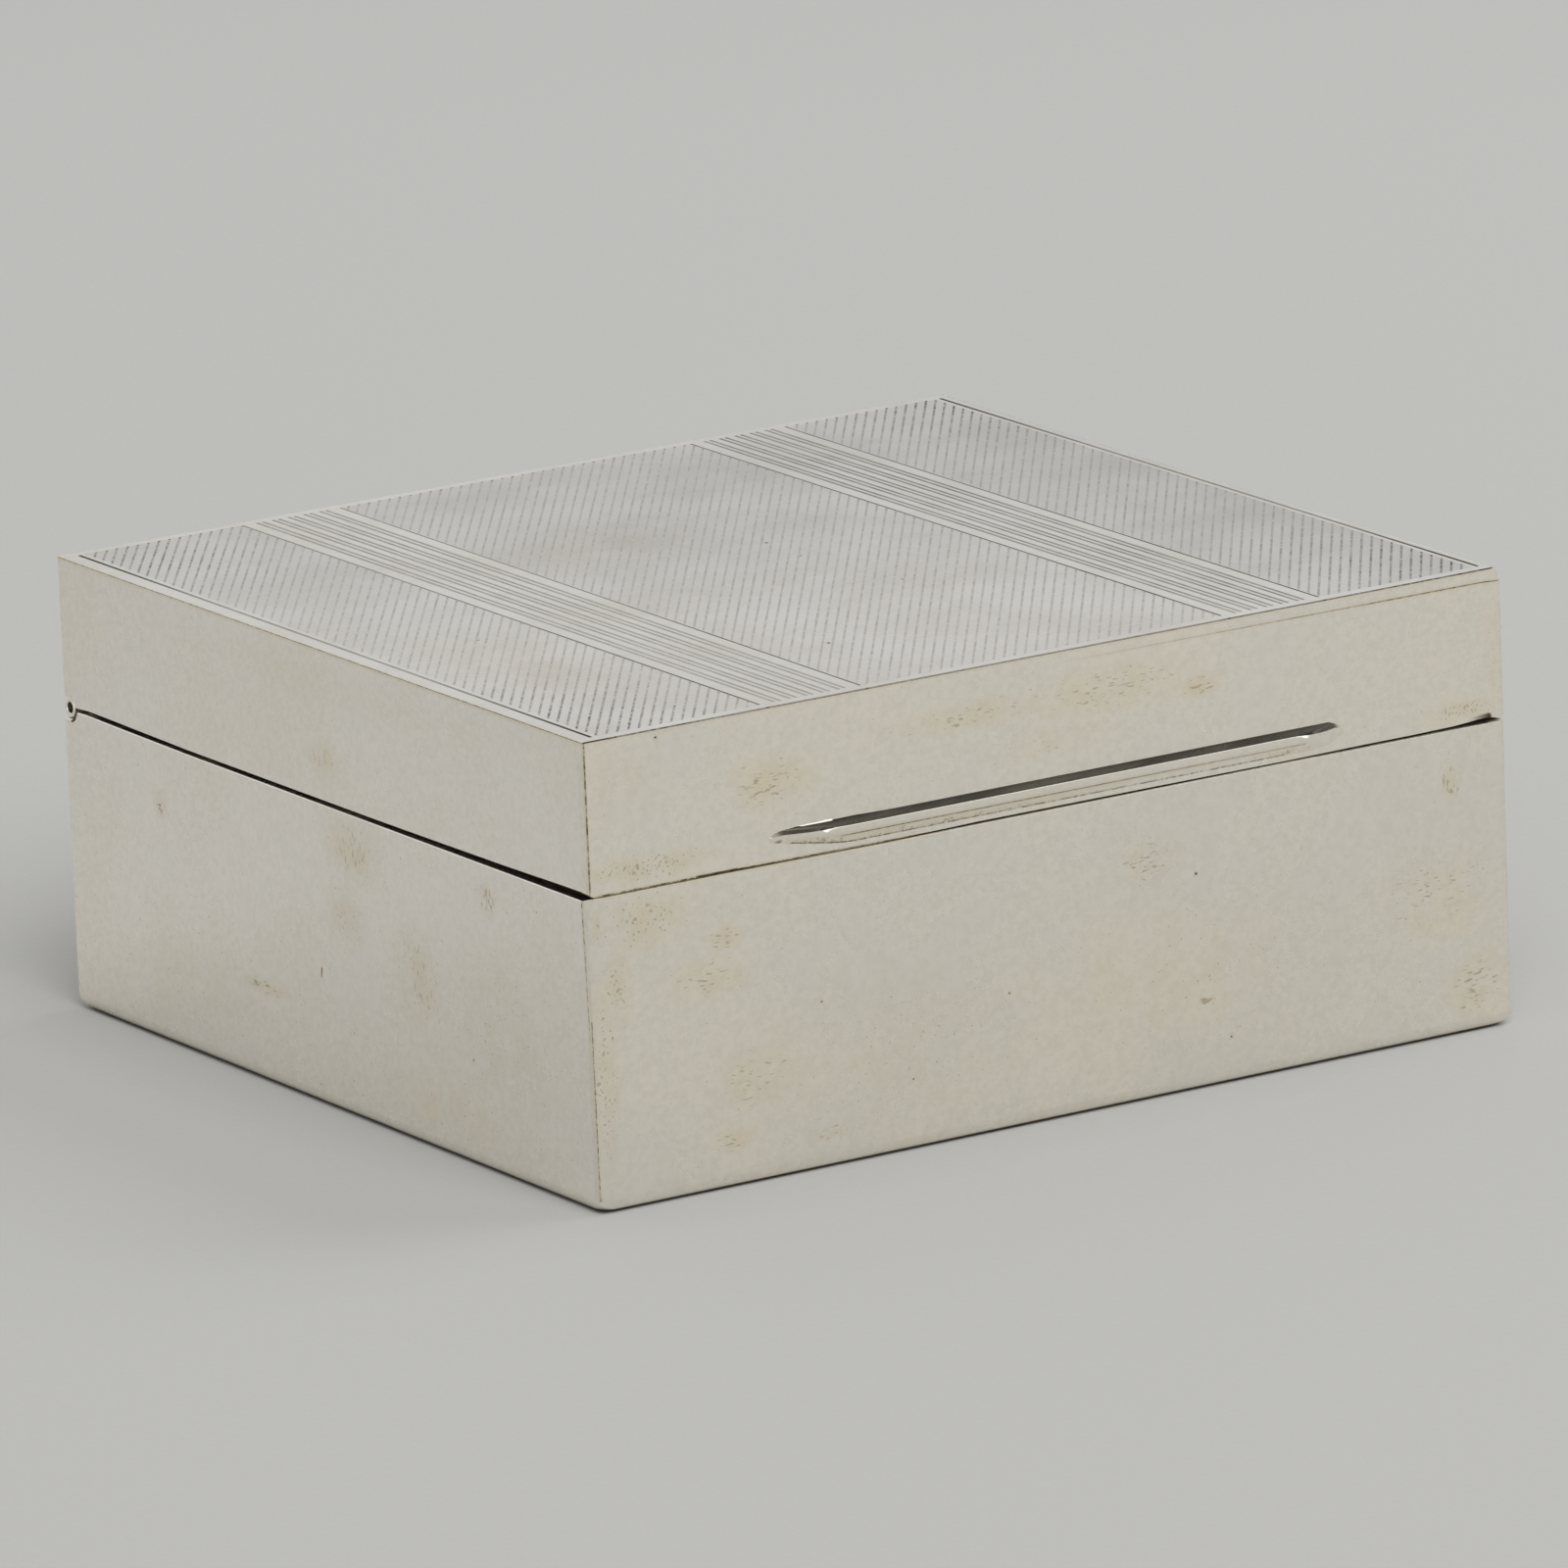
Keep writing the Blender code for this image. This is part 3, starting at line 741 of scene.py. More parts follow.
# Along the top's left arris: partly dirt, partly a painted dark reflection
lid_left_seams += seam_lines(on_left, (DEPTH, TOP - 0.00008, 0, TOP - 0.00008, 0.00005, 0.2, 0.5))
base_front_seams = base_corner_seams + seam_lines(
    on_front,
    (0, PARTING + 0.00003, 0.014, PARTING + 0.00002, 0.00009, 0.0, 0.9),
    (0.014, PARTING, 0.034, PARTING - 0.00010, 0.00008, 0.4, 0.7),
)
base_front_seams += seam_lines(
    on_left,
    (DEPTH - 0.00030, 0.0160, DEPTH - 0.00010, 0.0012, 0.00010, 0.0, 0.85),
    (DEPTH - 0.00012, 0.0019, DEPTH - 0.00006, 0.0012, 0.00016, 0.0, 0.8),
)
# Painted shade on the base rim's top near the right end, in the gap under the lid's bent corner
base_front_seams.append(
    shaded((RIGHT - 0.0060, FRONT + 0.0007, PARTING), (RIGHT, FRONT + 0.0007, PARTING), 0.00048)
)
base_front_seams += specks(
    on_front,
    (0.0580, 0.0183, 0.00015),
    (0.0395, 0.0115, 0.00010),
    (0.0215, 0.0140, 0.00010),
    (0.0610, 0.0040, 0.00010),
    (0.0300, 0.0060, 0.00010),
)
base_left_seams = base_corner_seams + [closed_rim_shade]
base_left_seams += seam_lines(on_left, (0.0405, 0.0118, 0.0404, 0.0111, 0.00011, 0.3, 0.0))
base_left_seams += specks(on_left, (0.0152, 0.0206, 0.00013), (0.0640, 0.0090, 0.00010))
# Painted shade in the notch gap round the hinge tube, at the base's left end
base_left_seams += [
    shaded(notch_left, (LEFT + END_INSET, BACK, NOTCH_FLOOR), 0.00052),
    shaded((LEFT + END_INSET, HINGE.y - 0.0010, HINGE.z), notch_left, 0.00052),
]
# Painted shade along the hinge's bore, so the tube's ends look dark inside
hinge_bore_shade = [shaded(bore_left, (RIGHT - END_INSET, HINGE.y, HINGE.z), 0.00064)]
field_seams = specks(
    on_top,
    (0.0030, 0.0057, 0.00016),
    (0.0027, 0.0000, 0.00013),
    (0.0047, -0.0125, 0.00014),
    (-0.0118, -0.0268, 0.00018),
    (-0.0330, -0.0070, 0.00013),
)
lid_front_patches = stains(
    on_front,
    (0.0173, 0.0328, 0.0064, 0.0034, STREAK_LEVEL, 1.08),
    (0.0500, 0.0352, 0.0125, 0.0030, STREAK_LEVEL, 0.92),
    (0.0590, 0.0340, 0.0030, 0.0016, STREAK_LEVEL, 1.20),
    (0.0370, 0.0352, 0.0130, 0.0018, STREAK_LEVEL, 0.95),
    (0.0440, 0.0318, 0.0100, 0.0020, STREAK_LEVEL, 0.60),
    (0.0055, 0.0280, 0.0095, 0.0020, FLECKS, 1.10),
    (0.0030, 0.0355, 0.0060, 0.0060, FLECKS, 0.45),
    (0.0845, 0.0276, 0.0060, 0.0014, FLECKS, 1.05),
    (0.0880, 0.0320, 0.0016, 0.0080, FLECKS, 0.60),
)
base_front_patches = stains(
    on_front,
    (0.0050, 0.0236, 0.0070, 0.0034, FLECKS, 1.00),
    (0.0023, 0.0190, 0.0020, 0.0060, FLECKS, 1.05),
    (0.0126, 0.0209, 0.0026, 0.0016, STREAK_LEVEL, 1.20),
    (0.0110, 0.0178, 0.0060, 0.0028, STREAK_LEVEL, 0.90),
    (0.0152, 0.0088, 0.0064, 0.0044, STREAK_LEVEL, 0.80),
    (0.0128, 0.0041, 0.0034, 0.0016, STREAK_LEVEL, 0.98),
    (0.0218, 0.0030, 0.0030, 0.0010, STREAK_LEVEL, 1.15),
    (0.0532, 0.0200, 0.0050, 0.0034, STREAK_LEVEL, 0.95),
    (0.0815, 0.0124, 0.0090, 0.0060, STREAK_LEVEL, 0.75),
    (0.0853, 0.0042, 0.0044, 0.0042, STREAK_LEVEL, 1.05),
    (0.0834, 0.0218, 0.0016, 0.0030, STREAK_UPRIGHT, 1.15),
    (0.0588, 0.0075, 0.0014, 0.0005, STREAK_LEVEL, 1.60),
    (0.0006, 0.0235, 0.0007, 0.0026, FLECKS, 1.20),
    (0.0010, 0.0120, 0.0022, 0.0130, FLECKS, 0.90),
    (0.0280, 0.0090, 0.0260, 0.0110, FLECKS, 0.50),
    (0.0560, 0.0100, 0.0280, 0.0110, FLECKS, 0.50),
)
base_left_patches = stains(
    on_left,
    (0.0466, 0.0230, 0.0064, 0.0040, STREAK_UPRIGHT, 0.86),
    (0.0446, 0.0169, 0.0050, 0.0038, FLECKS, 0.82),
    (0.0557, 0.0140, 0.0056, 0.0060, STREAK_UPRIGHT, 0.90),
    (0.0152, 0.0206, 0.0016, 0.0018, FLECKS, 1.10),
    (0.0312, 0.0083, 0.0056, 0.0010, STREAK_LEVEL, 1.15),
    (0.0670, 0.0230, 0.0026, 0.0020, STREAK_UPRIGHT, 1.20),
    (0.0680, 0.0120, 0.0150, 0.0110, FLECKS, 0.60),
    (0.0620, 0.0040, 0.0220, 0.0040, FLECKS, 0.55),
    (0.0200, 0.0060, 0.0180, 0.0050, FLECKS, 0.45),
)
lid_left_patches = stains(
    on_left,
    (0.0423, 0.0297, 0.0036, 0.0026, STREAK_UPRIGHT, 0.95),
    (0.0400, 0.0360, 0.0300, 0.0024, FLECKS, 0.30),
)
hidden_patches = [
    ((RIGHT, 0.012, 0.0170), (STAIN_DEPTH, 0.0200, 0.0080), STREAK_UPRIGHT, 0.80),
    ((0.010, BACK, 0.0150), (0.0240, STAIN_DEPTH, 0.0070), STREAK_LEVEL, 0.80),
    ((-0.028, BACK, 0.0330), (0.0120, STAIN_DEPTH, 0.0030), FLECKS, 0.80),
]
field_patches = [
    ((-0.0100, 0.0150, TOP), (0.0160, 0.0120, STAIN_DEPTH), FLECKS, 0.55),
    ((0.0120, 0.0250, TOP), (0.0120, 0.0090, STAIN_DEPTH), FLECKS, 0.45),
    ((-0.0350, -0.0150, TOP), (0.0080, 0.0160, STAIN_DEPTH), FLECKS, 0.40),
]


def eased(share):
    """A share from 0 to 1 with a soft start and end."""
    share = min(max(share, 0), 1)
    return share * share * (3 - 2 * share)


def from_thumb_tip(x):
    """Which end of the thumb-piece is nearer, and how far its tip is."""
    end = 1 if x > 0 else 0
    return end, THUMB_HALVES[end] - abs(x)


def thumb_foot(x):
    """Height of the thumb-piece's lower edge, which sweeps up to its tips."""
    end, from_tip = from_thumb_tip(x)
    return THUMB_LOW + THUMB_LOWER_RISES[end] * (1 - eased(from_tip / THUMB_LOWER_SWEEPS[end]))


def thumb_swell(x):
    """Share of the thumb-piece's full reach: it narrows like the bow of a boat at its tips."""
    end, from_tip = from_thumb_tip(x)
    nose = max(min(from_tip / THUMB_NOSES[end], 1), 0)
    return (nose * (2 - nose)) ** THUMB_BOW


def along_foot(x):
    """A place in the hollow along the thumb-piece's foot, where dirt lies."""
    return (x, FRONT - THUMB_REACH * THUMB_HOLLOW_OUT * thumb_swell(x), thumb_foot(x) + THUMB_HOLLOW_UP)


thumb_seams = [
    (along_foot(-0.0190), along_foot(0.0220), 0.00024, 0.3, 1.0),
    # The dark hook at the left tip: partly dirt, partly a painted dark reflection
    ((-THUMB_HALVES[0], FRONT, 0.0276), (-0.0266, FRONT - 0.0005, 0.0280), 0.00022, 0.3, 0.2),
]
for x in (-0.0256, -0.0238, -0.0222, -0.0206):
    thumb_seams.append((along_foot(x), along_foot(x + 0.0018), 0.00020, 0.0, 0.6))
line_out = FRONT - THUMB_REACH
line_level = THUMB_LOW + THUMB_LINE_SHARE * (THUMB_HIGH - THUMB_LOW)
thumb_seams.append(((-0.0215, line_out, line_level), (0.0240, line_out, line_level), 0.00010, 0.45, 0.4))
thumb_patches = [
    ((-0.0240, FRONT - 0.0006, THUMB_LOW + 0.0006), (0.0070, STAIN_DEPTH, 0.0009), FLECKS, 1.15),
    ((-0.0120, FRONT - 0.0008, THUMB_LOW + 0.0002), (0.0200, STAIN_DEPTH, 0.0008), FLECKS, 1.15),
    ((0.0220, FRONT - 0.0008, THUMB_LOW + 0.0003), (0.0060, STAIN_DEPTH, 0.0006), FLECKS, 0.95),
]

lid_front_silver = silver_material("lid front silver", lid_front_patches, lid_front_seams, pits=0.12)
lid_side_silver = silver_material(
    "lid side silver",
    lid_left_patches + hidden_patches,
    lid_left_seams,
    clean=CLEAN_LEFT_LIT,
    warmth=0.35,
    pits=0.14,
)
base_front_silver = silver_material(
    "base front silver", base_front_patches, base_front_seams, clean=CLEAN_BASE, pits=0.42
)
base_side_silver = silver_material(
    "base side silver",
    base_left_patches + hidden_patches,
    base_left_seams,
    clean=CLEAN_LEFT_LIT,
    warmth=0.35,
    pits=0.38,
)
# The top is painted darker towards its right and its back
top_darkened = [((0.05, 0.05, TOP), (0.08, 0.1, 0.01), 0.32)]
top_silver = silver_material(
    "plain top silver", clean=CLEAN_TOP_SHADED, warmth=0.15, pits=0.05, rough=(0.26, 0.38), darkened=top_darkened
)
field_darkened = [
    ((0.0550, -0.0100, TOP), (0.0500, 0.0800, 0.01), 0.70),
    ((0.0100, 0.0450, TOP), (0.0900, 0.0750, 0.01), 0.55),
]
field_silver = silver_material(
    "turned ground silver",
    field_patches,
    field_seams,
    clean=CLEAN_FIELD_SHADED,
    warmth=0.12,
    pits=0.10,
    rough=(0.28, 0.40),
    darkened=field_darkened,
)
cut_silver = groove_material(field_darkened)
# The foot's lowest edge is painted dark as a contact shadow, with grime
foot_silver = silver_material(
    "foot silver", base_front_patches, clean=CLEAN_BASE, pits=0.4, shade_and_grime=FOOT_SHADE_AND_GRIME_HEIGHT
)
thumb_silver = silver_material("thumb piece silver", thumb_patches, thumb_seams, pits=0.3, rough=(0.10, 0.16))
hinge_silver = silver_material("hinge silver", seams=hinge_bore_shade, clean=CLEAN_LEFT_LIT, pits=0.1)
cedar_across = cedar_material("cedar grain across", 0.0)
cedar_along = cedar_material("cedar grain along", pi / 2)
pin_steel = pin_material()


# Geometry node trees for the engine turning

def make_field_group():
    """A block whose underside carries slanting ridges, clipped to one field's rectangle."""
    tree, w, given, out = geometry_group(
        "slanting lines block",
        Float={
            "Field Width": 0.01,
            "Field Depth": 0.08,
            "Pitch": FIELD_PITCH,
            "Slant": FIELD_SLANT,
            "Groove Depth": FIELD_GROOVE_DEPTH,
            "Crown": FIELD_CROWN,
            "Block Height": CUTTER_HEIGHT,
        },
    )
    span = w.plus(given["Field Width"], given["Field Depth"])
    lines = w.maths("CEIL", w.over(span, given["Pitch"]))
    steps = w.plus(w.times(lines, float(STEPS_PER_PITCH)), 1.0)
    size = {"Size X": w.times(lines, given["Pitch"]), "Size Y": w.times(span, 1.5)}
    grid = w.shape("MeshGrid", {**size, "Vertices X": steps, "Vertices Y": 2})
    across = w.parts(w.shape("InputPosition"))["X"]
    turns = w.maths("FRACT", w.plus(w.over(across, given["Pitch"]), 0.5))
    to_groove = w.size_of(w.minus(w.times(turns, 2.0), 1.0))
    on_land = w.over(w.maths("MINIMUM", to_groove, LAND_SHARE), LAND_SHARE)
    rounded = w.minus(1.0, w.times(on_land, on_land))
    in_groove = w.over(w.minus(to_groove, LAND_SHARE), 1.0 - LAND_SHARE, clamp=True)
    height = w.minus(w.times(rounded, given["Crown"]), w.times(in_groove, given["Groove Depth"]))
    lifted = w.shape("SetPosition", {"Geometry": grid, "Offset": w.vector(Z=height)})
    turn = w.times(w.maths("ARCTANGENT", given["Slant"]), -1.0)
    turned = w.moved(lifted, Rotation=w.vector(Z=turn))
    pull = {"Mesh": turned, "Offset": w.vector(Z=given["Block Height"]), "Individual": False}
    raised = w.shape("ExtrudeMesh", pull, mode="FACES")
    under = w.shape("FlipFaces", {"Mesh": turned})
    closed = w.joined([raised, under])
    block = w.shape("MergeByDistance", {"Geometry": closed, "Distance": WELD_DISTANCE})
    size = w.vector(X=given["Field Width"], Y=given["Field Depth"], Z=given["Block Height"])
    clip = w.shape("MeshCube", {"Size": size})
    pair = {"Mesh 2": [block, clip]}
    w.feed(out["Geometry"], w.shape("MeshBoolean", pair, operation="INTERSECT", solver="EXACT"))
    return tree


def make_line_group():
    """A long bar lying on its edge, which cuts one V-shaped line along Y."""
    tree, w, given, out = geometry_group(
        "straight line bar",
        Float={"Line Width": BAND_LINE_WIDTH, "Line Length": DEPTH, "Sharpness": 0.5},
    )
    side = w.times(given["Line Width"], cos(pi / 4))
    size = w.vector(X=side, Y=given["Line Length"], Z=side)
    bar = w.shape("MeshCube", {"Size": size})
    on_edge = w.moved(bar, Rotation=(0, pi / 4, 0))
    squat = w.vector(X=1.0, Y=1.0, Z=given["Sharpness"])
    w.feed(out["Geometry"], w.moved(on_edge, Scale=squat))
    return tree


def make_band_group(line_group):
    """Pairs of cut lines at an even pitch between two border lines."""
    tree, w, given, out = geometry_group(
        "reeded band lines",
        Int={"Pairs": BAND_PAIRS},
        Float={
            "Pitch": BAND_PITCH,
            "Spread": BAND_SPREAD,
            "Half Width": BAND_HALF_WIDTH,
            "Line Width": BAND_LINE_WIDTH,
            "Border Line Width": BAND_BORDER_WIDTH,
            "Line Length": DEPTH,
        },
    )
    length = given["Line Length"]
    bar = w.use(line_group, {"Line Width": given["Line Width"], "Line Length": length}).outputs[0]
    thin = w.use(line_group, {"Line Width": given["Border Line Width"], "Line Length": length}).outputs[0]
    half_pitch = w.times(given["Pitch"], -0.5)
    first = w.times(w.minus(given["Pairs"], 1.0), half_pitch)
    made = []
    for side in (-1.0, 1.0):
        start = w.plus(first, w.times(given["Spread"], side))
        spots = {"Start Location": w.vector(X=start), "Offset": w.vector(X=given["Pitch"])}
        row = w.shape("MeshLine", {"Count": given["Pairs"], **spots})
        made.append(w.shape("InstanceOnPoints", {"Points": row, "Instance": bar}))
        edge = w.vector(X=w.times(given["Half Width"], side))
        made.append(w.moved(thin, Translation=edge))
    w.feed(out["Geometry"], w.shape("RealizeInstances", {"Geometry": w.joined(made)}))
    return tree


def make_engraving_tree(field_group, line_group, band_group):
    """Cuts three slanting fields, two reeded bands and two frame lines into a plain plate."""
    tree, w, given, out = geometry_group(
        "engine turned plate",
        Geometry={"Plate": None},
        Float={
            "Plate Width": WIDTH,
            "Plate Depth": DEPTH,
            "Top": TOP,
            "Border": BORDER,
            "Side Inset": FIELD_INSET,
            "Frame Line Inset": FRAME_LINE_INSET,
            "Frame Line Width": FRAME_LINE_WIDTH,
            "Band Offset": BAND_OFFSET,
            "Band Half Width": BAND_HALF_WIDTH,
            "Clearance": FIELD_CLEARANCE,
            "Sink": FIELD_SINK,
        },
        Material=dict.fromkeys(("Plain", "Front Edge", "Side Edge", "Ground", "Cut")),
    )
    half = w.times(given["Plate Width"], 0.5)
    length = w.minus(given["Plate Depth"], w.times(given["Border"], 2.0))
    reach = w.plus(given["Band Half Width"], given["Clearance"])
    inner_edge = w.minus(given["Band Offset"], reach)
    outer_edge = w.plus(given["Band Offset"], reach)
    side_edge = w.minus(half, given["Side Inset"])
    side_width = w.minus(side_edge, outer_edge)
    side_centre = w.times(w.plus(side_edge, outer_edge), 0.5)
    field_level = w.minus(given["Top"], given["Sink"])
    made = []
    for side in (-1.0, 0.0, 1.0):
        width = side_width if side else w.times(inner_edge, 2.0)
        field = w.use(field_group, {"Field Width": width, "Field Depth": length}).outputs[0]
        move = w.vector(X=w.times(side_centre, side), Z=field_level)
        made.append(w.moved(field, Translation=move))
    line_inset = w.minus(half, given["Frame Line Inset"])
    for side in (-1.0, 1.0):
        band = w.use(band_group, {"Half Width": given["Band Half Width"], "Line Length": length}).outputs[0]
        move = w.vector(X=w.times(given["Band Offset"], side), Z=given["Top"])
        made.append(w.moved(band, Translation=move))
        line = w.use(line_group, {"Line Width": given["Frame Line Width"], "Line Length": length}).outputs[0]
        move = w.vector(X=w.times(line_inset, side), Z=given["Top"])
        made.append(w.moved(line, Translation=move))
    pair = {"Mesh 1": given["Plate"], "Mesh 2": w.joined(made)}
    cut = w.shape("MeshBoolean", pair, operation="DIFFERENCE", solver="EXACT")
    real = w.shape("RealizeInstances", {"Geometry": cut})
    place = w.parts(w.shape("InputPosition"))
    facing = w.parts(w.shape("InputNormal"))
    sunk = w.maths("LESS_THAN", place["Z"], w.minus(given["Top"], CUT_TOLERANCE))
    near_top = w.maths("GREATER_THAN", place["Z"], w.minus(given["Top"], CUT_LIMIT))
    upward = w.maths("GREATER_THAN", facing["Z"], CUT_UP)
    inside = w.maths("LESS_THAN", w.size_of(place["X"]), w.minus(half, CUT_MARGIN))
    turned = w.times(w.times(sunk, near_top), w.times(upward, inside))
    steep = w.times(turned, w.maths("LESS_THAN", facing["Z"], GROOVE_UP))
    outside = w.maths("LESS_THAN", facing["Z"], EDGE_UP)
    frontward = w.times(outside, w.maths("LESS_THAN", facing["Y"], FRONT_BACKWARD))
    shape = w.shape("SetMaterial", {"Geometry": real, "Material": given["Plain"]})
    layers = (("Side Edge", outside), ("Front Edge", frontward), ("Ground", turned), ("Cut", steep))
    for label, chosen in layers:
        finish = {"Geometry": shape, "Selection": chosen, "Material": given[label]}
        shape = w.shape("SetMaterial", finish)
    w.feed(out["Geometry"], shape)
    return tree


def link(name, data):
    obj = bpy.data.objects.new(name, data)
    bpy.context.scene.collection.objects.link(obj)
    return obj


def add_piece(name, bm, material, smooth_below=SMOOTH_BELOW):
    mesh = bpy.data.meshes.new(name)
    bmesh.ops.recalc_face_normals(bm, faces=bm.faces)
    bm.to_mesh(mesh)
    bm.free()
    if material:
        mesh.materials.append(material)
    mesh.shade_smooth()
    mesh.set_sharp_from_angle(angle=radians(smooth_below))
    return link(name, mesh)


def finish_piece(obj, body, slot, *nodes):
    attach(obj, body)
    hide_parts(*nodes)


def skin(bm, rings, capped=True):
    """Faces between neighbouring rings of vertices, and over both ends if they are capped."""
    for one, other in zip(rings, rings[1:]):
        for i in range(len(one)):
            j = (i + 1) % len(one)
            bm.faces.new((one[i], one[j], other[j], other[i]))
    if capped:
        bm.faces.new(rings[0])
        bm.faces.new(rings[-1])


def settle(obj):
    """Turn an object with its modifiers into one with a plain mesh."""
    evaluated = obj.evaluated_get(bpy.context.evaluated_depsgraph_get())
    mesh = bpy.data.meshes.new_from_object(evaluated)
    obj.modifiers.clear()
    obj.data = mesh
    return obj


def sheet(name, outline, axis, low, high, round_of, material, segments=3):
    """Sheet metal: an outline extruded along one axis, with some edges worn round."""
    bm = bmesh.new()
    rings = [[], []]
    for ring, level in zip(rings, (low, high)):
        for point in outline:
            ring.append(bm.verts.new((*point[:axis], level, *point[axis:])))
    bm.faces.new(rings[0])
    bm.faces.new(rings[1])
    for i in range(len(outline)):
        j = (i + 1) % len(outline)
        bm.faces.new((rings[0][i], rings[0][j], rings[1][j], rings[1][i]))
    bmesh.ops.recalc_face_normals(bm, faces=bm.faces)
    weights = bm.edges.layers.float.new("bevel_weight_edge")
    radii = {edge: round_of(edge.verts[0].co, edge.verts[1].co) for edge in bm.edges}
    widest = max(radii.values())
    for edge, radius in radii.items():
        edge[weights] = radius / widest if widest else 0
        edge.smooth = radius > 0 or edge.calc_face_angle(0) < radians(SMOOTH_BELOW)
    for face in bm.faces:
        face.smooth = True
    mesh = bpy.data.meshes.new(name)
    bm.to_mesh(mesh)
    bm.free()
    mesh.materials.append(material)
    obj = link(name, mesh)
    if widest:
        bevel = obj.modifiers.new("Worn edges", "BEVEL")
        bevel.width = widest
        bevel.segments = segments
        bevel.limit_method = "WEIGHT"
    return settle(obj)


def weigh_normals(obj, smooth_below=WALL_SMOOTH_BELOW):
    """Let the broad faces set the shading, so that the worn edges don't tint them."""
    obj.data.set_sharp_from_angle(angle=radians(smooth_below))
    weighted = obj.modifiers.new("Broad faces first", "WEIGHTED_NORMAL")
    weighted.mode = "FACE_AREA"
    weighted.keep_sharp = True
    settle(obj)


def finish_wall(wall):
    """Put a wall on its body in place of the solid of its name."""
    weigh_normals(wall)
    finish_piece(wall, wall.name.split("_")[0], "silver", wall.name + "_wall")


def both(a, b, axis, value):
    """Whether both ends of an edge lie at this value along an axis."""
    return abs(a[axis] - value) < SAME_PLACE and abs(b[axis] - value) < SAME_PLACE


def arc(centre, radius, start, end, steps):
    """Points of an arc, from one angle to another."""
    turns = [start + (end - start) * step / steps for step in range(steps + 1)]
    return [(centre[0] + radius * cos(turn), centre[1] + radius * sin(turn)) for turn in turns]


def wear_right_corner(obj):
    """Round the top corner at the front right like a worn ball."""
    radius = RIGHT_ARRIS_ROUND
    centre = Vector((RIGHT - radius, FRONT + radius, TOP - radius))
    for vertex in obj.data.vertices:
        away = vertex.co - centre
        if away.x <= 0 or away.y >= 0 or away.z <= 0 or away.length <= radius:
            continue
        share = eased(away.x / radius * WORN_BALL_SHARE)
        vertex.co = vertex.co.lerp(centre + away.normalized() * radius, share)


def add_lid_top():
    def round_of(a, b):
        if both(a, b, 2, TOP):
            return RIGHT_ARRIS_ROUND if both(a, b, 0, RIGHT) else ARRIS_ROUND
        if abs(a.z - b.z) > WALL / 2 and abs(a.x) > WIDTH / 2 - ARRIS_ROUND:
            return RIGHT_CORNER_ROUND if a.x > 0 and a.y < 0 else CORNER_ROUND
        return 0

    outline = [(LEFT, FRONT), (RIGHT - RIGHT_ARRIS_ROUND * PAST_ROUND, FRONT), (RIGHT, FRONT)]
    outline += [(RIGHT, BACK), (LEFT, BACK)]
    plate = sheet("lid_top", outline, 2, PLATE_UNDERSIDE, TOP, round_of, top_silver, LID_TOP_SEGMENTS)
    wear_right_corner(plate)
    field_group = make_field_group()
    line_group = make_line_group()
    band_group = make_band_group(line_group)
    engraving = plate.modifiers.new("Engine turning", "NODES")
    engraving.node_group = make_engraving_tree(field_group, line_group, band_group)
    values = {
        "Plate Width": WIDTH,
        "Plate Depth": DEPTH,
        "Top": TOP,
        "Plain": top_silver,
        "Front Edge": lid_front_silver,
        "Side Edge": lid_side_silver,
        "Ground": field_silver,
        "Cut": cut_silver,
    }
    for item in engraving.node_group.interface.items_tree:
        if item.item_type == "SOCKET" and item.in_out == "INPUT" and item.name in values:
            engraving[item.identifier] = values[item.name]
    settle(plate)
    plate.data.shade_smooth()
    weigh_normals(plate, LID_TOP_SMOOTH_BELOW)
    finish_piece(plate, "lid", "silver", "lid_top_plate")


def sharpen_low_corner(obj):
    """The near corner is worn most at the rim, and less towards the foot."""
    for vertex in obj.data.vertices:
        at = vertex.co
        reach = WORN_CORNER_ROUND * PAST_ROUND
        if at.x < LEFT + reach and at.y < FRONT + reach and at.z < FOOT_TOP + WALL:
            at.x = LEFT + (at.x - LEFT) * LOW_CORNER_SHARE
            at.y = FRONT + (at.y - FRONT) * LOW_CORNER_SHARE


